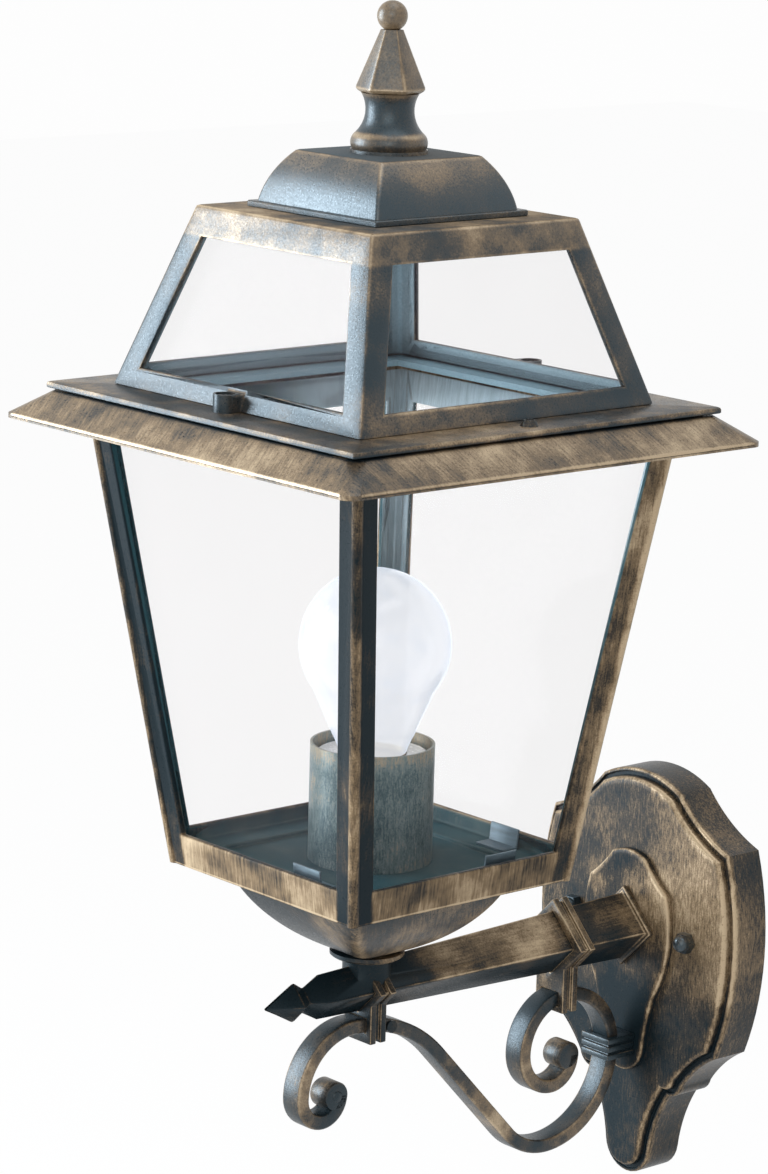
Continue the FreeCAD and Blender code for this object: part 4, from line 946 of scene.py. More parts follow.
def grown_mesh(name: str, seed: bpy.types.Mesh | bpy.types.Curve, tree: bpy.types.NodeTree,
               values: Mapping[str, object]) -> bpy.types.Mesh:
    """Run a Geometry Nodes tree on points or a curve and keep only the plain mesh.

    Args:
        name: The new mesh's name.
        seed: The points or the curve.
        tree: The tree.
        values: The tree's inputs by label.

    Returns:
        The mesh.
    """
    carrier = bpy.data.objects.new(name + "_carrier", seed)
    bpy.context.scene.collection.objects.link(carrier)
    modifier = carrier.modifiers.new("grow", "NODES")
    modifier.node_group = tree
    for item in tree.interface.items_tree:
        if item.in_out == "INPUT" and item.name in values:
            modifier[item.identifier] = values[item.name]
    evaluated = carrier.evaluated_get(bpy.context.evaluated_depsgraph_get())
    mesh = bpy.data.meshes.new_from_object(evaluated)
    mesh.name = name
    carrier.modifiers.remove(modifier)
    bpy.data.objects.remove(carrier)
    return mesh


@dataclass
class Fasteners:
    """Screw heads and domed nuts, set on points by Geometry Nodes."""

    shop: Workshop
    sides: int = 32
    taper: float = 0.62
    cross_reach: float = 1.1
    dome: float = 0.8
    lift: float = 0.95

    def tree(self, name: str, domed: bool) -> bpy.types.NodeTree:
        """Make the tree that sets a head on every point.

        Args:
            name: The tree's name.
            domed: Whether the head is a domed nut and not a screw with a cross recess.

        Returns:
            The tree.
        """
        inputs = {"Points": "Geometry", "Head Radius": "Float", "Head Height": "Float", "Recess": "Float",
                  "Facing": "Rotation", "Finish": "Material"}
        nodes, given = start_tree(name, inputs, "Heads")
        radius, tall, recess = (Term(nodes, given[label]) for label in ("Head Radius", "Head Height", "Recess"))
        head = self.domed_nut(nodes, radius, tall) if domed else self.cross_screw(nodes, radius, tall, recess)
        rows = nodes.node("GeometryNodeInstanceOnPoints", None,
                          {"Points": given["Points"], "Instance": head, "Rotation": given["Facing"]})
        return end_tree(nodes, rows.outputs[0], given["Finish"])

    def lifted(self, nodes: Tree, shape: bpy.types.Node, height: Term) -> bpy.types.NodeSocket:
        """A shape moved up.

        Args:
            nodes: The tree.
            shape: The node that makes the shape.
            height: How far.

        Returns:
            The moved shape.
        """
        up = nodes.node("ShaderNodeCombineXYZ", None, {Z: height}).outputs[0]
        moved = nodes.node("GeometryNodeTransform", None, {"Geometry": shape.outputs["Mesh"], "Translation": up})
        return moved.outputs[0]

    def domed_nut(self, nodes: Tree, radius: Term, tall: Term) -> bpy.types.NodeSocket:
        """A six-sided foot with a ball in it.

        Args:
            nodes: The tree.
            radius: Corner radius of the foot.
            tall: Height of the foot.

        Returns:
            The nut.
        """
        foot = nodes.node("GeometryNodeMeshCylinder", {"fill_type": "NGON"},
                          {"Vertices": 6, "Radius": radius, "Depth": tall})
        ball = nodes.node("GeometryNodeMeshUVSphere", None, {"Segments": 24, "Rings": 16, "Radius": radius * self.dome})
        nut = nodes.node("GeometryNodeMeshBoolean", {"operation": "UNION"})
        for shape, share in ((foot, 0.5), (ball, self.lift)):
            nodes.feed(nut.inputs["Mesh 2"], self.lifted(nodes, shape, tall * share))
        return nut.outputs["Mesh"]

    def cross_screw(self, nodes: Tree, radius: Term, tall: Term, recess: Term) -> bpy.types.NodeSocket:
        """A tapered head with a cross recess.

        Args:
            nodes: The tree.
            radius: Radius of the head's foot.
            tall: Height of the head.
            recess: Width of the recess.

        Returns:
            The head.
        """
        turned = nodes.node("GeometryNodeMeshCone", {"fill_type": "NGON"},
                            {"Vertices": self.sides, "Radius Top": radius * self.taper, "Radius Bottom": radius,
                             "Depth": tall})
        head = nodes.node("GeometryNodeMeshBoolean", {"operation": "DIFFERENCE"}, {"Mesh 1": turned.outputs["Mesh"]})
        reach = radius * self.cross_reach
        for wide, long in ((recess, reach), (reach, recess)):
            size = nodes.node("ShaderNodeCombineXYZ", None, {X: wide, Y: long, Z: tall})
            bar = nodes.node("GeometryNodeMeshCube", None, {"Size": size.outputs[0]})
            nodes.feed(head.inputs["Mesh 2"], self.lifted(nodes, bar, tall * self.lift))
        return head.outputs["Mesh"]

    def row(self, name: str, tree: bpy.types.NodeTree, places: Sequence[Triple], values: Mapping[str, object],
            look: Finish, *nodes: str) -> None:
        """Set heads on places and make them one piece.

        Args:
            name: The piece's name.
            tree: The tree.
            places: Where the heads sit.
            values: The tree's inputs by label.
            look: The finish.
            nodes: The nodes that the piece stands for.
        """
        seed = bpy.data.meshes.new(name + "_points")
        seed.from_pydata(places, [], [])
        mesh = grown_mesh(name, seed, tree, {**values, "Finish": self.shop.finish(look)})
        self.shop.place(name, mesh, (look,), CASTING, *nodes)


@dataclass
class Roof:
    """Finial, cap, glazed frame and eave plate, their sizes in millimetres."""

    shop: Workshop
    edge_round: float = 1.3
    cap_flange: float = 38.4
    cap_foot: float = 2.2
    cap_low: float = 35.8
    cap_belly: float = 32.5
    cap_high: float = 24.9
    cap_tall: float = 22.5
    cap_steps: int = 14
    cap_corner: float = 1.6
    sheet_corner: float = 0.8
    eave_half: float = 92.9
    eave_open: float = 61.0
    eave_thick: float = 2.4
    washer_thick: float = 1.3
    cone_turn: float = 44.0
    ball_radius: float = 5.9
    ball_level: float = 50.6
    # Roof frame: its whole inside takes the pale painted reflection.
    metal: AntiqueMetal = AntiqueMetal(
        "roof_metal", Stroke.DABBED, 0.22, (Band(0.299, 0.312, 0.54),),
        bare_inside=Lean(EAVE_Z, 0.0718, ROOF_TOP_Z, 0.0496), streaky=0.5, gloss=0.62, painted_reflection_above=0.2,
        painted_reflection_behind=-0.2, dull_above=ROOF_TOP_Z - 0.0006)
    cap_metal: AntiqueMetal = AntiqueMetal(
        "cap_metal", Stroke.DABBED, 0.14, drifts=(Drift(Z, 0.315, 0.331, 0.36),), streaky=0.45, cloudy=0.4,
        gloss=0.9, dull_above=CAP_TOP_Z - 0.0006)
    finial_metal: AntiqueMetal = AntiqueMetal(
        "finial_metal", Stroke.DABBED, 0.12, (Band(0.333, 0.341, 0.4), Band(0.3555, 0.395, 0.42)), streaky=0.45,
        cloudy=0.4, gloss=0.65)
    washer_metal: AntiqueMetal = AntiqueMetal("washer_metal", Stroke.DABBED, 0.5, streaky=0.4, gloss=0.9)
    # Eave plate: the lower part of its edge is held dark as a painted shadow line over the skirt, and its inner ring
    # takes the painted reflection.
    eave_metal: AntiqueMetal = AntiqueMetal(
        "eave_metal", Stroke.DABBED, 0.04, drifts=(Drift(Z, EAVE_Z - 0.0021, EAVE_Z - 0.0011, 0.32),),
        bare_inside=Lean(EAVE_Z - 0.01, 0.0716, EAVE_Z + 0.01, 0.0716), streaky=0.5, painted_reflection_colour=(0.24, 0.36, 0.42),
        painted_reflection_above=0.2, painted_reflection_behind=-0.2)

    def build(self) -> None:
        """Make and dress the roof's pieces."""
        self.shop.cast("roof_frame", self.shop.soften("roof_frame", self.edge_round, (0.7, 0.55)), self.metal)
        self.cap()
        self.eave()
        self.finial()
        self.shop.dress(self.washer_metal, "finial_washer")
        self.shop.dress(GLASS, *(f"roof_pane_{side}" for side in SIDES))
        self.shop.dress(ZINC, "finial_stud", "finial_nut")

    def cap(self) -> None:
        """Flange and bowed square cap."""
        shell = Shell()
        flange = ((0.0, 0.35), (0.35, 0.0), (2.05, 0.0), (2.4, 0.35))
        rings = [square_ring(self.cap_flange - inset, ROOF_TOP_Z + level * MM, self.sheet_corner)
                 for level, inset in flange]
        shell.loft(rings, (0.0, 0.2, 0.5, 0.2))
        belly = (self.cap_belly, (self.cap_tall + self.cap_foot) / 2)
        bow = arc((self.cap_low, self.cap_foot), belly, (self.cap_high + 0.9, self.cap_tall - 0.35), self.cap_steps)
        bow.append((self.cap_high, self.cap_tall))
        vault = [square_ring(half, ROOF_TOP_Z + level * MM, self.cap_corner) for half, level in bow]
        shell.loft(vault, [corner_gilt_and_highlight(0.6)] * (len(vault) - 2) + [0.5, -0.5])
        self.shop.cast("roof_cap", shell, self.cap_metal)

    def eave(self) -> None:
        """Flat square ring with a rounded edge."""
        shell = Shell()
        half, hole, top = self.eave_half, self.eave_open, self.eave_thick
        section = ((half - 0.3, 0.0), (half, 0.3), (half, 1.5), (half - 0.3, 2.1), (half - 0.9, top), (hole, top),
                   (hole, 0.0))
        rings = [square_ring(out, EAVE_Z + (level - top) * MM, self.sheet_corner) for out, level in section]
        shell.loft(rings, (0.0, 0.25, 0.4, 0.5, 0.1, 0.0, 0.0), closed=True)
        self.shop.cast("eave_plate", shell, self.eave_metal)

    def finial(self) -> None:
        """Turned foot and waist, six-sided cone and ball."""
        shell = Shell()
        base = CAP_TOP_Z + self.washer_thick * MM
        foot = arc((14.2, 0.0), (14.9, 3.0), (13.0, 6.3), 8)
        waist = arc((13.0, 6.3), (9.5, 13.5), (11.2, 21.4), 14)[1:]
        shares = [0.2] * 6 + [0.6, 0.7, 0.5] + [0.0] * 11 + [0.3, 0.6, 0.3]
        shell.loft([turned_ring(radius, base + level * MM) for radius, level in foot + waist], shares)
        cone = ((11.4, 21.3), (12.9, 22.2), (13.5, 23.0), (13.4, 23.9), (4.4, 45.4))
        edges = corner_gilt_and_highlight(0.6, 6, 2)
        shell.loft([self.cone_ring(radius, base + level * MM) for radius, level in cone], (0.0, 0.4, 0.7, edges, edges))
        ball = []
        for angle in range(-80, 81, 10):
            level = self.ball_level + self.ball_radius * math.sin(math.radians(angle))
            ball.append(turned_ring(self.ball_radius * math.cos(math.radians(angle)), base + level * MM, 32))
        shell.loft(ball, 0.35)
        self.shop.cast("finial", shell, self.finial_metal)

    def cone_ring(self, radius: float, height: float) -> list[Vector]:
        """A hexagon with eased corners.

        Args:
            radius: Corner radius in millimetres.
            height: Height in metres.

        Returns:
            Three points to each corner.
        """
        ring = []
        for corner in range(6):
            for offset, share in ((-5.0, 0.965), (0.0, 0.985), (5.0, 0.965)):
                angle = math.radians(self.cone_turn + 60 * corner + offset)
                reach = radius * share * MM
                ring.append(Vector((reach * math.cos(angle), AXIS_Y + reach * math.sin(angle), height)))
        return ring


@dataclass
class LanternBody:
    """Cage, panes, clips, bowl and neck, their sizes in millimetres."""

    shop: Workshop
    cage_round: float = 1.0
    skirt_from: float = 85.0
    clip_round: float = 0.25
    bowl_round: float = 5.0
    bowl_top: float = 41.8
    bowl_belly: float = 32.9
    bowl_foot: float = 10.5
    bowl_tall: float = 32.4
    bowl_steps: int = 20
    corner_steps: int = 8
    # Cage: the pale slate on the rear inner posts is a painted reflection.
    metal: AntiqueMetal = AntiqueMetal(
        "cage_metal", Stroke.UPRIGHT, 0.05, (Band(FOOT_Z - 0.002, FOOT_Z + 0.0132, 0.67, 9.0),),
        (Drift(Y, -0.16, -0.09, 0.52),), Lean(FOOT_Z, 0.0533, CAGE_TOP_Z, 0.0812),
        Lean(FOOT_Z, 0.056, CAGE_TOP_Z, 0.0815), streaky=0.8, gloss=0.12, painted_reflection_colour=(0.62, 0.78, 0.86),
        painted_reflection_above=FOOT_Z + 0.04, painted_reflection_deep=0.0012)
    # Skirt: the dark band under the eave plate is a painted shadow line, and the front side gets a little less gold as
    # painted shade set against the lamp's sheen there.
    skirt_metal: AntiqueMetal = AntiqueMetal(
        "skirt_metal", Stroke.SLANTED, 0.57, (Band(EAVE_Z - 0.0031, EAVE_Z + 0.002, -0.4),),
        (Drift(Y, -0.262, -0.246, 0.08),), streaky=0.65, gloss=0.48)
    bowl_metal: AntiqueMetal = AntiqueMetal(
        "bowl_metal", Stroke.SLANTED, 0.04, drifts=(Drift(X, 0.002, 0.014, 0.28),), streaky=0.7, gloss=0.3)
    clip_metal: PlainMetal = PlainMetal(
        "clip_steel", (0.19, 0.27, 0.32), (0.11, 0.16, 0.19), (0.1, 0.1, 1.0), 0.3)

    def build(self) -> None:
        """Make and dress the body's pieces."""
        # Level edges take more gold than upright ones: a painted highlight along the rails and sills.
        cage = self.shop.soften("lantern_cage", self.cage_round, (1.0, 0.35))
        piece = self.shop.cast("lantern_cage", cage, self.metal, self.skirt_metal)
        self.shop.split(piece, self.on_skirt)
        self.bowl()
        self.shop.dress(self.bowl_metal, "neck_disc")
        self.shop.dress(GLASS, *(f"body_pane_{side}" for side in SIDES))
        clips = self.shop.soften("pane_clips", self.clip_round, (0.0, 0.0))
        self.shop.place("bent_clips", clips, (self.clip_metal,), "clip_steel", "pane_clips")

    def on_skirt(self, place: Vector) -> bool:
        """Whether a place is so far out that it is on the skirt."""
        return max(abs(place.x), abs(place.y - AXIS_Y)) > self.skirt_from * MM

    def bowl(self) -> None:
        """Square bowl with four bowed sides."""
        shell = Shell()
        belly = (self.bowl_belly, -self.bowl_tall / 2)
        bow = arc((self.bowl_top, 0.0), belly, (self.bowl_foot, -self.bowl_tall), self.bowl_steps)
        rings = [square_ring(half, FOOT_Z + level * MM, self.bowl_round, self.corner_steps) for half, level in bow]
        # Gold on the keels is partly a painted highlight along them.
        shell.loft(rings, [corner_gilt_and_highlight(0.7, 4, self.corner_steps)] * len(rings))
        self.shop.cast("bottom_bowl", shell, self.bowl_metal)


@dataclass
class LampUnit:
    """Sleeve, holder and bulb on the threaded tube, their sizes in millimetres."""

    shop: Workshop
    foot_z: float = FOOT_Z + 0.0185
    thread_radius: float = 12.55
    thread_deep: float = 0.6
    thread_level: float = 4.6
    thread_rise: float = 0.6
    thread_steps: int = 42
    steps_in_turn: int = 6
    globe_radius: float = 30.2
    globe_level: float = 74.0
    sleeve_metal: AntiqueMetal = AntiqueMetal(
        "slate_sleeve", Stroke.DOWN, 0.62, drifts=(Drift(Z, 0.092, 0.0999, 0.24),), streaky=0.9, cloudy=0.5, gloss=0.2,
        shades=((0.10, (0.022, 0.042, 0.047)), (0.48, (0.085, 0.135, 0.145)), (0.72, (0.20, 0.26, 0.26)),
                (0.95, (0.40, 0.34, 0.25))))
    holder_glaze: Moulded = Moulded("glazed_white", (0.86, 0.86, 0.85), (0.8, 0.8, 0.79), 0.2)
    brass: PlainMetal = PlainMetal("cap_brass", (0.6, 0.5, 0.3), (0.4, 0.33, 0.2))

    def build(self) -> None:
        """Make and dress the lamp's pieces."""
        self.shop.dress(self.sleeve_metal, "holder_sleeve")
        self.shop.dress(self.holder_glaze, "lampholder")
        self.shop.dress(ZINC, "threaded_tube", "tube_nut")
        self.bulb()

    def bulb(self) -> None:
        """Screw cap with a rolled thread, and the globe."""
        profile: list[Pair] = [(1.5, 0.0), (4.5, 0.4), (4.8, 1.6), (9.5, 3.4)]
        for step in range(self.thread_steps):
            wave = math.sin(math.tau * step / self.steps_in_turn)
            profile.append((self.thread_radius + self.thread_deep * wave, self.thread_level + self.thread_rise * step))
        profile += [(13.2, 30.2), (13.4, 30.8)]
        cap_top = self.foot_z + profile[-1][1] * MM
        profile += arc((13.4, 30.8), (14.5, 34.0), (16.4, 37.9), 4)[1:]
        profile += arc((16.4, 37.9), (20.2, 46.8), (24.3, 56.07), 8)[1:]
        for angle in (math.radians(degrees) for degrees in range(-30, 90, 6)):
            profile.append((self.globe_radius * math.cos(angle),
                            self.globe_level + self.globe_radius * math.sin(angle)))
        profile.append((0.6, self.globe_level + self.globe_radius))
        shell = Shell()
        shell.loft([turned_ring(radius, self.foot_z + level * MM) for radius, level in profile])
        mesh = shell.mesh("bulb_globe")
        piece = self.shop.place("bulb_globe", mesh, (BulbGlass(), self.brass), "opal_glass", "bulb")
        self.shop.split(piece, lambda place: place.z < cap_top)


@dataclass
class Bracket:
    """Arm bar, scroll, collars and rivet, their sizes in millimetres."""

    shop: Workshop
    arm_round: float = 0.8
    collar_round: float = 0.5
    collar_least: float = 1.5
    width: float = 10.5
    thick: float = 5.8
    edge: float = 1.1
    button: float = 5.9
    button_steps: int = 40
    start: Pair = (-183.1, -41.7)
    slope: float = 47.0
    run: float = 59.33
    climb: float = 36.31
    step_long: float = 1.6
    # Arm: the band below its middle holds the lower facets dark as painted shade, and the gold falls away at the wall
    # end as painted shade at its foot; it has no gold toward the tip.
    arm_metal: AntiqueMetal = AntiqueMetal(
        "arm_metal", Stroke.OUTWARD, -0.1, (Band(-0.03, -0.001, 0.12),),
        (Drift(Y, -0.155, -0.13, 0.72), Drift(Y, -0.078, -0.062, -0.38)), streaky=0.6, gloss=0.2)
    scroll_metal: AntiqueMetal = AntiqueMetal("scroll_metal", Stroke.BAR, 0.16, streaky=0.6, gloss=0.5)
    collar_metal: AntiqueMetal = AntiqueMetal(
        "collar_metal", Stroke.DABBED, 0.2, drifts=(Drift(Y, -0.115, -0.1, 0.3),), streaky=0.5, gloss=0.24)
    clasp_metal: AntiqueMetal = AntiqueMetal("clasp_metal", Stroke.DABBED, 0.0, streaky=0.5, gloss=0.8)

    def build(self) -> None:
        """Make and dress the bracket's pieces."""
        arm = self.shop.soften("arm_bar", self.arm_round, (0.9, 0.9))
        self.shop.cast("arm_bar", arm, self.arm_metal, made="forging")
        for collar in ("front_collar", "rear_collar", "wall_collar"):
            mesh = self.shop.soften(collar, self.collar_round, (1.2, 1.2), self.collar_least)
            self.shop.cast(collar, mesh, self.clasp_metal if collar == "wall_collar" else self.collar_metal)
        self.scroll()
        self.shop.dress(self.collar_metal, "scroll_rivet")

    def route(self) -> list[Pair]:
        """Middle line of the scroll: tangent arcs and one straight run.

        Returns:
            Its points from the front curl to the rear one, along Y and Z.
        """
        turns = ((9.5, -90), (10.6, -90), (26.0, -90), (62.0, -self.slope), (self.run, 0), (30.0, self.slope),
                 (self.climb, 90), (27.8, 90), (22.5, 90), (16.0, 90), (11.5, 90))
        place = self.start
        heading = -90.0
        points = [place]
        for size, turn in turns:
            if turn:
                normal = math.radians(heading + 90 * math.copysign(1, turn))
                centre = (place[0] + size * math.cos(normal), place[1] + size * math.sin(normal))
                steps = max(8, round(size * math.radians(abs(turn)) / self.step_long))
                for step in range(1, steps + 1):
                    angle = normal + math.pi + math.radians(turn) * step / steps
                    points.append((centre[0] + size * math.cos(angle), centre[1] + size * math.sin(angle)))
                heading += turn
            else:
                angle = math.radians(heading)
                points.append((place[0] + size * math.cos(angle), place[1] + size * math.sin(angle)))
            place = points[-1]
        return points

    def tree(self) -> bpy.types.NodeTree:
        """Make the tree that runs a flat bar with eased edges along a curve.

        Returns:
            The tree.
        """
        inputs = {"Route": "Geometry", "Bar Width": "Float", "Bar Thickness": "Float", "Edge Radius": "Float",
                  "Finish": "Material"}
        nodes, given = start_tree("bent_flat_bar", inputs, "Bar")
        length = nodes.node("GeometryNodeSplineParameter").outputs["Length"]
        marked = nodes.node("GeometryNodeStoreNamedAttribute", {"data_type": "FLOAT", "domain": "POINT"},
                            {"Geometry": given["Route"], "Name": ALONG, "Value": length})
        flat = nodes.node("GeometryNodeCurvePrimitiveQuadrilateral", None,
                          {"Width": given["Bar Width"], "Height": given["Bar Thickness"]})
        eased = nodes.node("GeometryNodeFilletCurve", {"mode": "POLY"},
                           {"Curve": flat.outputs[0], "Count": 3, "Radius": given["Edge Radius"]})
        bar = nodes.node("GeometryNodeCurveToMesh", None,
                         {"Curve": marked.outputs[0], "Profile Curve": eased.outputs[0], "Fill Caps": True})
        return end_tree(nodes, bar.outputs[0], given["Finish"])

    def scroll(self) -> None:
        """Bent bar with a round button at each end."""
        route = self.route()
        curve = bpy.data.curves.new("scroll_route", "CURVE")
        curve.dimensions = "3D"
        spline = curve.splines.new("POLY")
        spline.points.add(len(route) - 1)
        for point, (y, z) in zip(spline.points, route):
            point.co = (0.0, y * MM, z * MM, 1.0)
        values = {"Bar Width": self.width * MM, "Bar Thickness": self.thick * MM, "Edge Radius": self.edge * MM,
                  "Finish": self.shop.finish(self.scroll_metal)}
        mesh = grown_mesh("scroll_bar_forging", curve, self.tree(), values)
        self.add_buttons(mesh, (route[0], route[-1]))
        self.shop.cast("scroll_bar", mesh, self.scroll_metal, made="forging")

    def add_buttons(self, mesh: bpy.types.Mesh, ends: Sequence[Pair]) -> None:
        """Add the round ends, and gold on the bar's eased edges.

        Args:
            mesh: The bar.
            ends: Middle of the bar at its two ends.
        """
        shell = Shell()
        half = self.width / 2
        section = ((half - 0.9, 0.0), (half - 0.25, 0.35), (half, 1.0))
        pin = ((half, 2.4), (half + 0.3, 2.2), (half + 0.6, 1.7))
        angles = [math.tau * step / self.button_steps for step in range(self.button_steps)]
        for number, (y, z) in enumerate(ends):
            centre = Vector((0.0, (y - self.button + self.thick / 2) * MM, z * MM))
            side = [(x, self.button - inset) for x, inset in section]
            if number == 0:
                side += pin
            profile = [(-x, radius) for x, radius in reversed(side)] + side
            rings = [[centre + Vector((x, radius * math.cos(angle), radius * math.sin(angle))) * MM for angle in angles]
                     for x, radius in profile]
            shell.loft(rings, [0.4 if radius > 5 and abs(x) < half - 0.1 else 0.0 for x, radius in profile])
        work = bmesh.new()
        work.from_mesh(mesh)
        layer = work.verts.layers.float.new(GILT_HIGHLIGHT_AND_SHADE)
        slack = 0.01
        for corner in work.verts:
            out = abs(corner.co.x) / MM
            corner[layer] = 0.0 if out < half - self.edge + slack else 0.75 if out < half - slack else 0.55
        work.to_mesh(mesh)
        buttons = shell.mesh("scroll_buttons")
        work.from_mesh(buttons)
        work.to_mesh(mesh)
        work.free()
        bpy.data.meshes.remove(buttons)


@dataclass(frozen=True)
class Shield:
    """A shield outline: right-hand corners from the top and the bows after them, each with its way out."""

    crown: float
    tip: float
    corners: tuple[tuple[float, float, float, float], ...]
    bows: tuple[tuple[float, float, float, float], ...]

    def ring(self, inset: float, away: float, steps: int = 14) -> list[Vector]:
        """The outline moved inwards, at a distance from the wall.

        Args:
            inset: Distance inside the outline in millimetres.
            away: Distance from the wall in millimetres.
            steps: Steps in each bow.

        Returns:
            The points of the ring, clockwise from the right end of the arch.
        """
        def inside(place: tuple[float, float, float, float], side: int) -> Pair:
            """A place moved inwards, on the right or the left."""
            return side * (place[0] - inset * place[2]), place[1] - inset * place[3]

        right = [inside(corner, 1) for corner in self.corners]
        left = [inside(corner, -1) for corner in reversed(self.corners)]
        bows = [inside(bow, 1) for bow in self.bows] + [(0.0, inset - self.tip)]
        bows += [inside(bow, -1) for bow in reversed(self.bows)] + [(0.0, self.crown - inset)]
        corners = right + left
        points: list[Pair] = []
        for number, corner in enumerate(corners):
            points += arc(corner, bows[number], corners[(number + 1) % len(corners)], steps)[:-1]
        return [Vector((x * MM, -away * MM, z * MM)) for x, z in points]


@dataclass
class WallSide:
    """Wall plate, plaque, strap and what sits on them, their sizes in millimetres."""

    shop: Workshop
    plate: Shield = Shield(
        66.7, 111.3,
        ((23.0, 60.7, 0.65, 0.79), (52.3, 40.7, 0.8, 0.78), (49.6, -47.7, 0.8, -0.7), (31.0, -65.0, 0.93, -0.4),
         (23.5, -71.0, 0.55, -0.99), (13.2, -99.5, 0.99, -0.12)),
        ((35.5, 49.3, 0.58, 0.82), (58.7, 0.0, 1.0, 0.0), (39.2, -55.3, 0.68, -0.73), (28.4, -69.2, 0.64, -0.77),
         (17.0, -84.0, 0.94, -0.35)))
    small: Shield = Shield(
        33.0, 64.0,
        ((10.0, 30.3, 0.68, 0.76), (22.8, 17.5, 0.85, 0.61), (17.7, -27.9, 0.91, -0.43), (12.3, -53.0, 0.99, -0.1)),
        ((15.6, 23.8, 0.71, 0.7), (25.5, 0.0, 1.0, 0.0), (14.6, -38.5, 0.97, -0.23)))
    side_deep: float = 16.2
    # Wall plate: gold grows to the right and upward; the darker lower panel is partly painted shade under the arm and
    # the nuts.
    metal: AntiqueMetal = AntiqueMetal(
        "plate_metal", Stroke.DOWN, 0.1, drifts=(Drift(X, -0.03, 0.03, 0.12), Drift(Z, -0.055, 0.005, 0.34)),
        streaky=1.0, cloudy=0.55, gloss=0.16)
    side_metal: AntiqueMetal = AntiqueMetal("side_metal", Stroke.DOWN, 0.5, streaky=0.9, cloudy=0.55, gloss=0.25)
    # Plaque: low gold, and less still below and beside the arm's foot, as painted shade of the arm.
    plaque_metal: AntiqueMetal = AntiqueMetal(
        "plaque_metal", Stroke.DOWN, 0.16, drifts=(Drift(Z, -0.02, 0.025, 0.22), Drift(X, 0.006, 0.022, 0.2)),
        streaky=0.9, gloss=0.12)
    plastic: Moulded = Moulded("white_plastic", (0.8, 0.8, 0.77), (0.7, 0.7, 0.67), 0.5)
    rubber: Moulded = Moulded("black_rubber", (0.03, 0.03, 0.03), (0.02, 0.02, 0.02), 0.7)

    def build(self) -> None:
        """Make and dress the wall side's pieces."""
        self.wall_plate()
        self.plaque()
        self.shop.dress(ZINC, "mounting_strap", "strap_studs", "arm_screws")
        self.shop.dress(self.plastic, "terminal_block")
        self.shop.dress(self.rubber, "wire_grommet")

    def stepped(self, outline: Shield, section: Sequence[Triple]) -> Shell:
        """A shield built up in steps.

        Args:
            outline: The shield's outline.
            section: Each step's distance inside the outline, distance from the wall and gold.

        Returns:
            The shell.
        """
        shell = Shell()
        shell.loft([outline.ring(inset, away) for inset, away, _ in section], [gold for _, _, gold in section])
        return shell

    def wall_plate(self) -> None:
        """Hollow back, rounded rim, groove and bevelled panel."""
        # Negative gold darkens the side wall and the groove round the panel; in the groove it is painted shade.
        section = ((3.0, 15.0, 0.0), (3.0, 0.3, 0.0), (2.7, 0.0, 0.0), (0.0, 0.0, -0.3), (0.0, 15.0, -0.3),
                   (0.0, 16.7, 0.2), (0.15, 17.4, 0.7), (0.5, 17.85, 0.7), (0.9, 18.0, 0.3), (1.35, 18.0, 0.0),
                   (1.55, 17.8, -0.3), (1.65, 16.9, -0.5), (1.8, 16.8, -0.5), (3.3, 16.8, -0.5), (3.5, 17.0, -0.4),
                   (3.5, 19.2, 0.2), (3.65, 19.8, 0.8), (4.0, 20.35, 0.9), (4.6, 20.85, 0.6), (5.2, 21.0, 0.2),
                   (7.0, 21.0, 0.0))
        plate = self.shop.cast("wall_plate", self.stepped(self.plate, section), self.metal, self.side_metal)
        self.shop.split(plate, lambda place: place.y > -self.side_deep * MM)

    def plaque(self) -> None:
        """Small shield with an eased edge."""
        # The negative gold where the plaque meets the plate is painted shade at the join.
        section = ((0.0, 21.0, -0.4), (0.0, 22.6, 0.1), (0.12, 23.3, 1.0), (0.5, 23.8, 1.2), (1.0, 24.0, 0.5),
                   (2.4, 24.0, 0.0))
        self.shop.cast("plaque", self.stepped(self.small, section), self.plaque_metal)


@dataclass
class Hardware:
    """Screws on the eave and the roof lugs, and the nuts on the wall plate, in millimetres."""

    shop: Workshop
    eave_out: float = 84.0
    lug_out: float = 77.8
    lug_tall: float = 4.1
    nut_out: float = 34.0
    panel_front: float = 21.0
    screw_radius: float = 3.6
    screw_tall: float = 2.3
    recess: float = 0.9
    nut_radius: float = 4.6
    nut_tall: float = 3.6
    dark: AntiqueMetal = AntiqueMetal("screw_metal", Stroke.DABBED, 0.12, gloss=0.3)
    nut: AntiqueMetal = AntiqueMetal("nut_metal", Stroke.DABBED, 0.15, gloss=1.0)

    def build(self) -> None:
        """Set every row of heads."""
        fasteners = Fasteners(self.shop)
        screw = fasteners.tree("cross_screw", False)
        nut = fasteners.tree("domed_nut", True)
        upright = {"Head Radius": self.screw_radius * MM, "Head Height": self.screw_tall * MM,
                   "Recess": self.recess * MM}
        eave = [(side * self.eave_out * MM, AXIS_Y, EAVE_Z) for side in (-1, 1)]
        fasteners.row("eave_screw_heads", screw, eave, upright, self.dark, "eave_screws")
        lugs = [(0.0, AXIS_Y + side * self.lug_out * MM, EAVE_Z + self.lug_tall * MM) for side in (-1, 1)]
        fasteners.row("roof_screw_heads", screw, lugs, upright, self.dark, "roof_screws")
        domed = {"Head Radius": self.nut_radius * MM, "Head Height": self.nut_tall * MM, "Recess": 0.0,
                 "Facing": Euler((math.radians(90), 0.0, 0.0))}
        studs = [(side * self.nut_out * MM, -self.panel_front * MM, 0.0) for side in (-1, 1)]
        fasteners.row("acorn_nut_heads", nut, studs, domed, self.nut, "acorn_nuts")


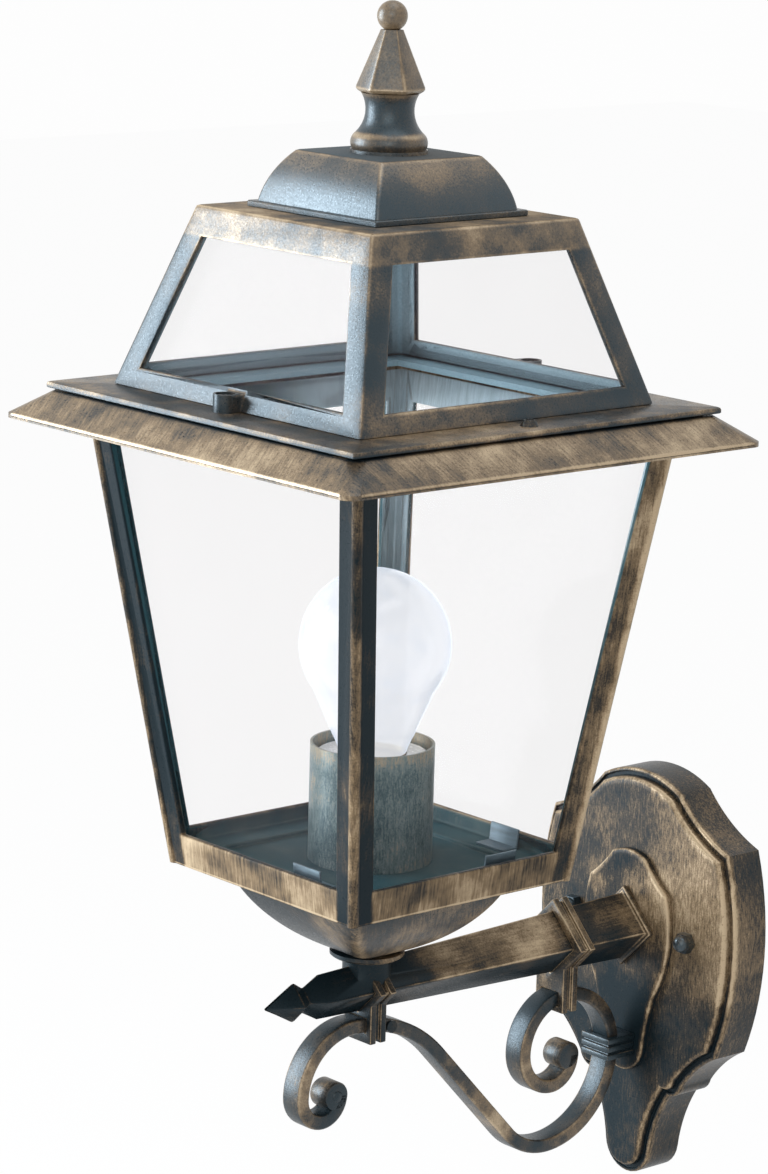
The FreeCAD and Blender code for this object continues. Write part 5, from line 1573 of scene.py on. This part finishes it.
@dataclass
class Studio:
    """Floor, soft light and the camera."""

    azimuth: float = 48.973
    elevation: float = 12.114
    roll: float = 1.585
    eye: Triple = (1.1713, -1.1835, 0.4958)
    lens: float = 189.95
    sensor: float = 36.0
    aim: Triple = (0.0, -0.15, 0.15)
    floor_z: float = -0.42
    floor_reach: float = 6.0
    floor_white: float = 0.95
    ambient: float = 0.42

    def build(self) -> None:
        """Set the stage."""
        bpy.context.scene.view_settings.view_transform = "Standard"
        self.world()
        self.floor()
        self.lamp("left_softbox", (-1.39, -1.38, 0.42), (1.0, 1.5), 59.0, (0.88, 0.94, 1.0))
        self.lamp("front_fill", (1.3, -1.6, 1.0), (1.4, 1.4), 12.0, (1.0, 0.96, 0.91))
        self.lamp("top_softbox", (0.2, -0.1, 1.7), (1.2, 1.2), 8.0, (1.0, 1.0, 1.0))
        self.camera()

    def world(self) -> None:
        """White to the camera, to metal and to glass; a plain level of light for the rest."""
        world = bpy.data.worlds.new("studio")
        bpy.context.scene.world = world
        world.use_nodes = True
        nodes = Tree(world.node_tree)
        world.node_tree.nodes.clear()
        ambient = nodes.node("ShaderNodeBackground", None, {0: (0.95, 0.97, 1.0), 1: self.ambient})
        white = nodes.node("ShaderNodeBackground", None, {0: (0.985, 0.985, 0.985), 1: 1.0})
        mixed = nodes.node("ShaderNodeMixShader", None,
                           {0: seen_directly(nodes), 1: ambient.outputs[0], 2: white.outputs[0]})
        nodes.node("ShaderNodeOutputWorld", None, {0: mixed.outputs[0]})

    def floor(self) -> None:
        """Pale floor well below the lamp."""
        mesh = bpy.data.meshes.new("floor")
        corners = ((-1, -1), (1, -1), (1, 1), (-1, 1))
        mesh.from_pydata([(x * self.floor_reach, y * self.floor_reach, self.floor_z) for x, y in corners], [],
                         [(0, 1, 2, 3)])
        floor = bpy.data.objects.new("floor", mesh)
        bpy.context.scene.collection.objects.link(floor)
        mix = Recipe("pale_floor")
        mix.set(Base_Color=(0.94, 0.94, 0.94), Roughness=0.9)
        glow = mix.node("ShaderNodeEmission", None, {0: (1.0, 1.0, 1.0), 1: 1.0})
        share = seen_directly(mix) * self.floor_white
        both = mix.node("ShaderNodeMixShader", None, {0: share, 1: mix.shader.outputs[0], 2: glow.outputs[0]})
        mix.feed(mix.output.inputs["Surface"], both.outputs[0])
        mesh.materials.append(mix.material)

    def lamp(self, name: str, place: Triple, size: Pair, power: float, colour: Colour) -> None:
        """A soft lamp aimed at the lantern.

        Args:
            name: The lamp's name.
            place: Where it stands.
            size: Its width and height in metres.
            power: Its power in watts.
            colour: Its colour.
        """
        light = bpy.data.lights.new(name, "AREA")
        light.shape = "RECTANGLE"
        light.size, light.size_y = size
        light.energy = power
        light.color = colour
        lamp = bpy.data.objects.new(name, light)
        lamp.location = place
        lamp.rotation_euler = (Vector(self.aim) - Vector(place)).to_track_quat("-Z", "Y").to_euler()
        bpy.context.scene.collection.objects.link(lamp)

    def camera(self) -> None:
        """Camera at the picture's angle, with its roll."""
        turn, tilt, roll = (math.radians(angle) for angle in (self.azimuth, self.elevation, self.roll))
        back = Vector((math.sin(turn) * math.cos(tilt), -math.cos(turn) * math.cos(tilt), math.sin(tilt)))
        right = Vector((math.cos(turn), math.sin(turn), 0.0))
        up = back.cross(right)
        across = math.cos(roll) * right + math.sin(roll) * up
        above = -math.sin(roll) * right + math.cos(roll) * up
        data = bpy.data.cameras.new("camera")
        data.sensor_fit = "HORIZONTAL"
        data.sensor_width = self.sensor
        data.lens = self.lens
        camera = bpy.data.objects.new("camera", data)
        axes = Matrix((across, above, back)).transposed().to_4x4()
        camera.matrix_world = Matrix.Translation(Vector(self.eye)) @ axes
        bpy.context.scene.collection.objects.link(camera)
        bpy.context.scene.camera = camera


def main() -> None:
    """Build every sub-assembly in order."""
    logging.basicConfig(level=logging.INFO, format="%(name)s: %(message)s")
    shop = Workshop()
    Studio().build()
    WallSide(shop).build()
    Bracket(shop).build()
    LanternBody(shop).build()
    LampUnit(shop).build()
    Roof(shop).build()
    Hardware(shop).build()


if __name__ == "__main__":
    main()
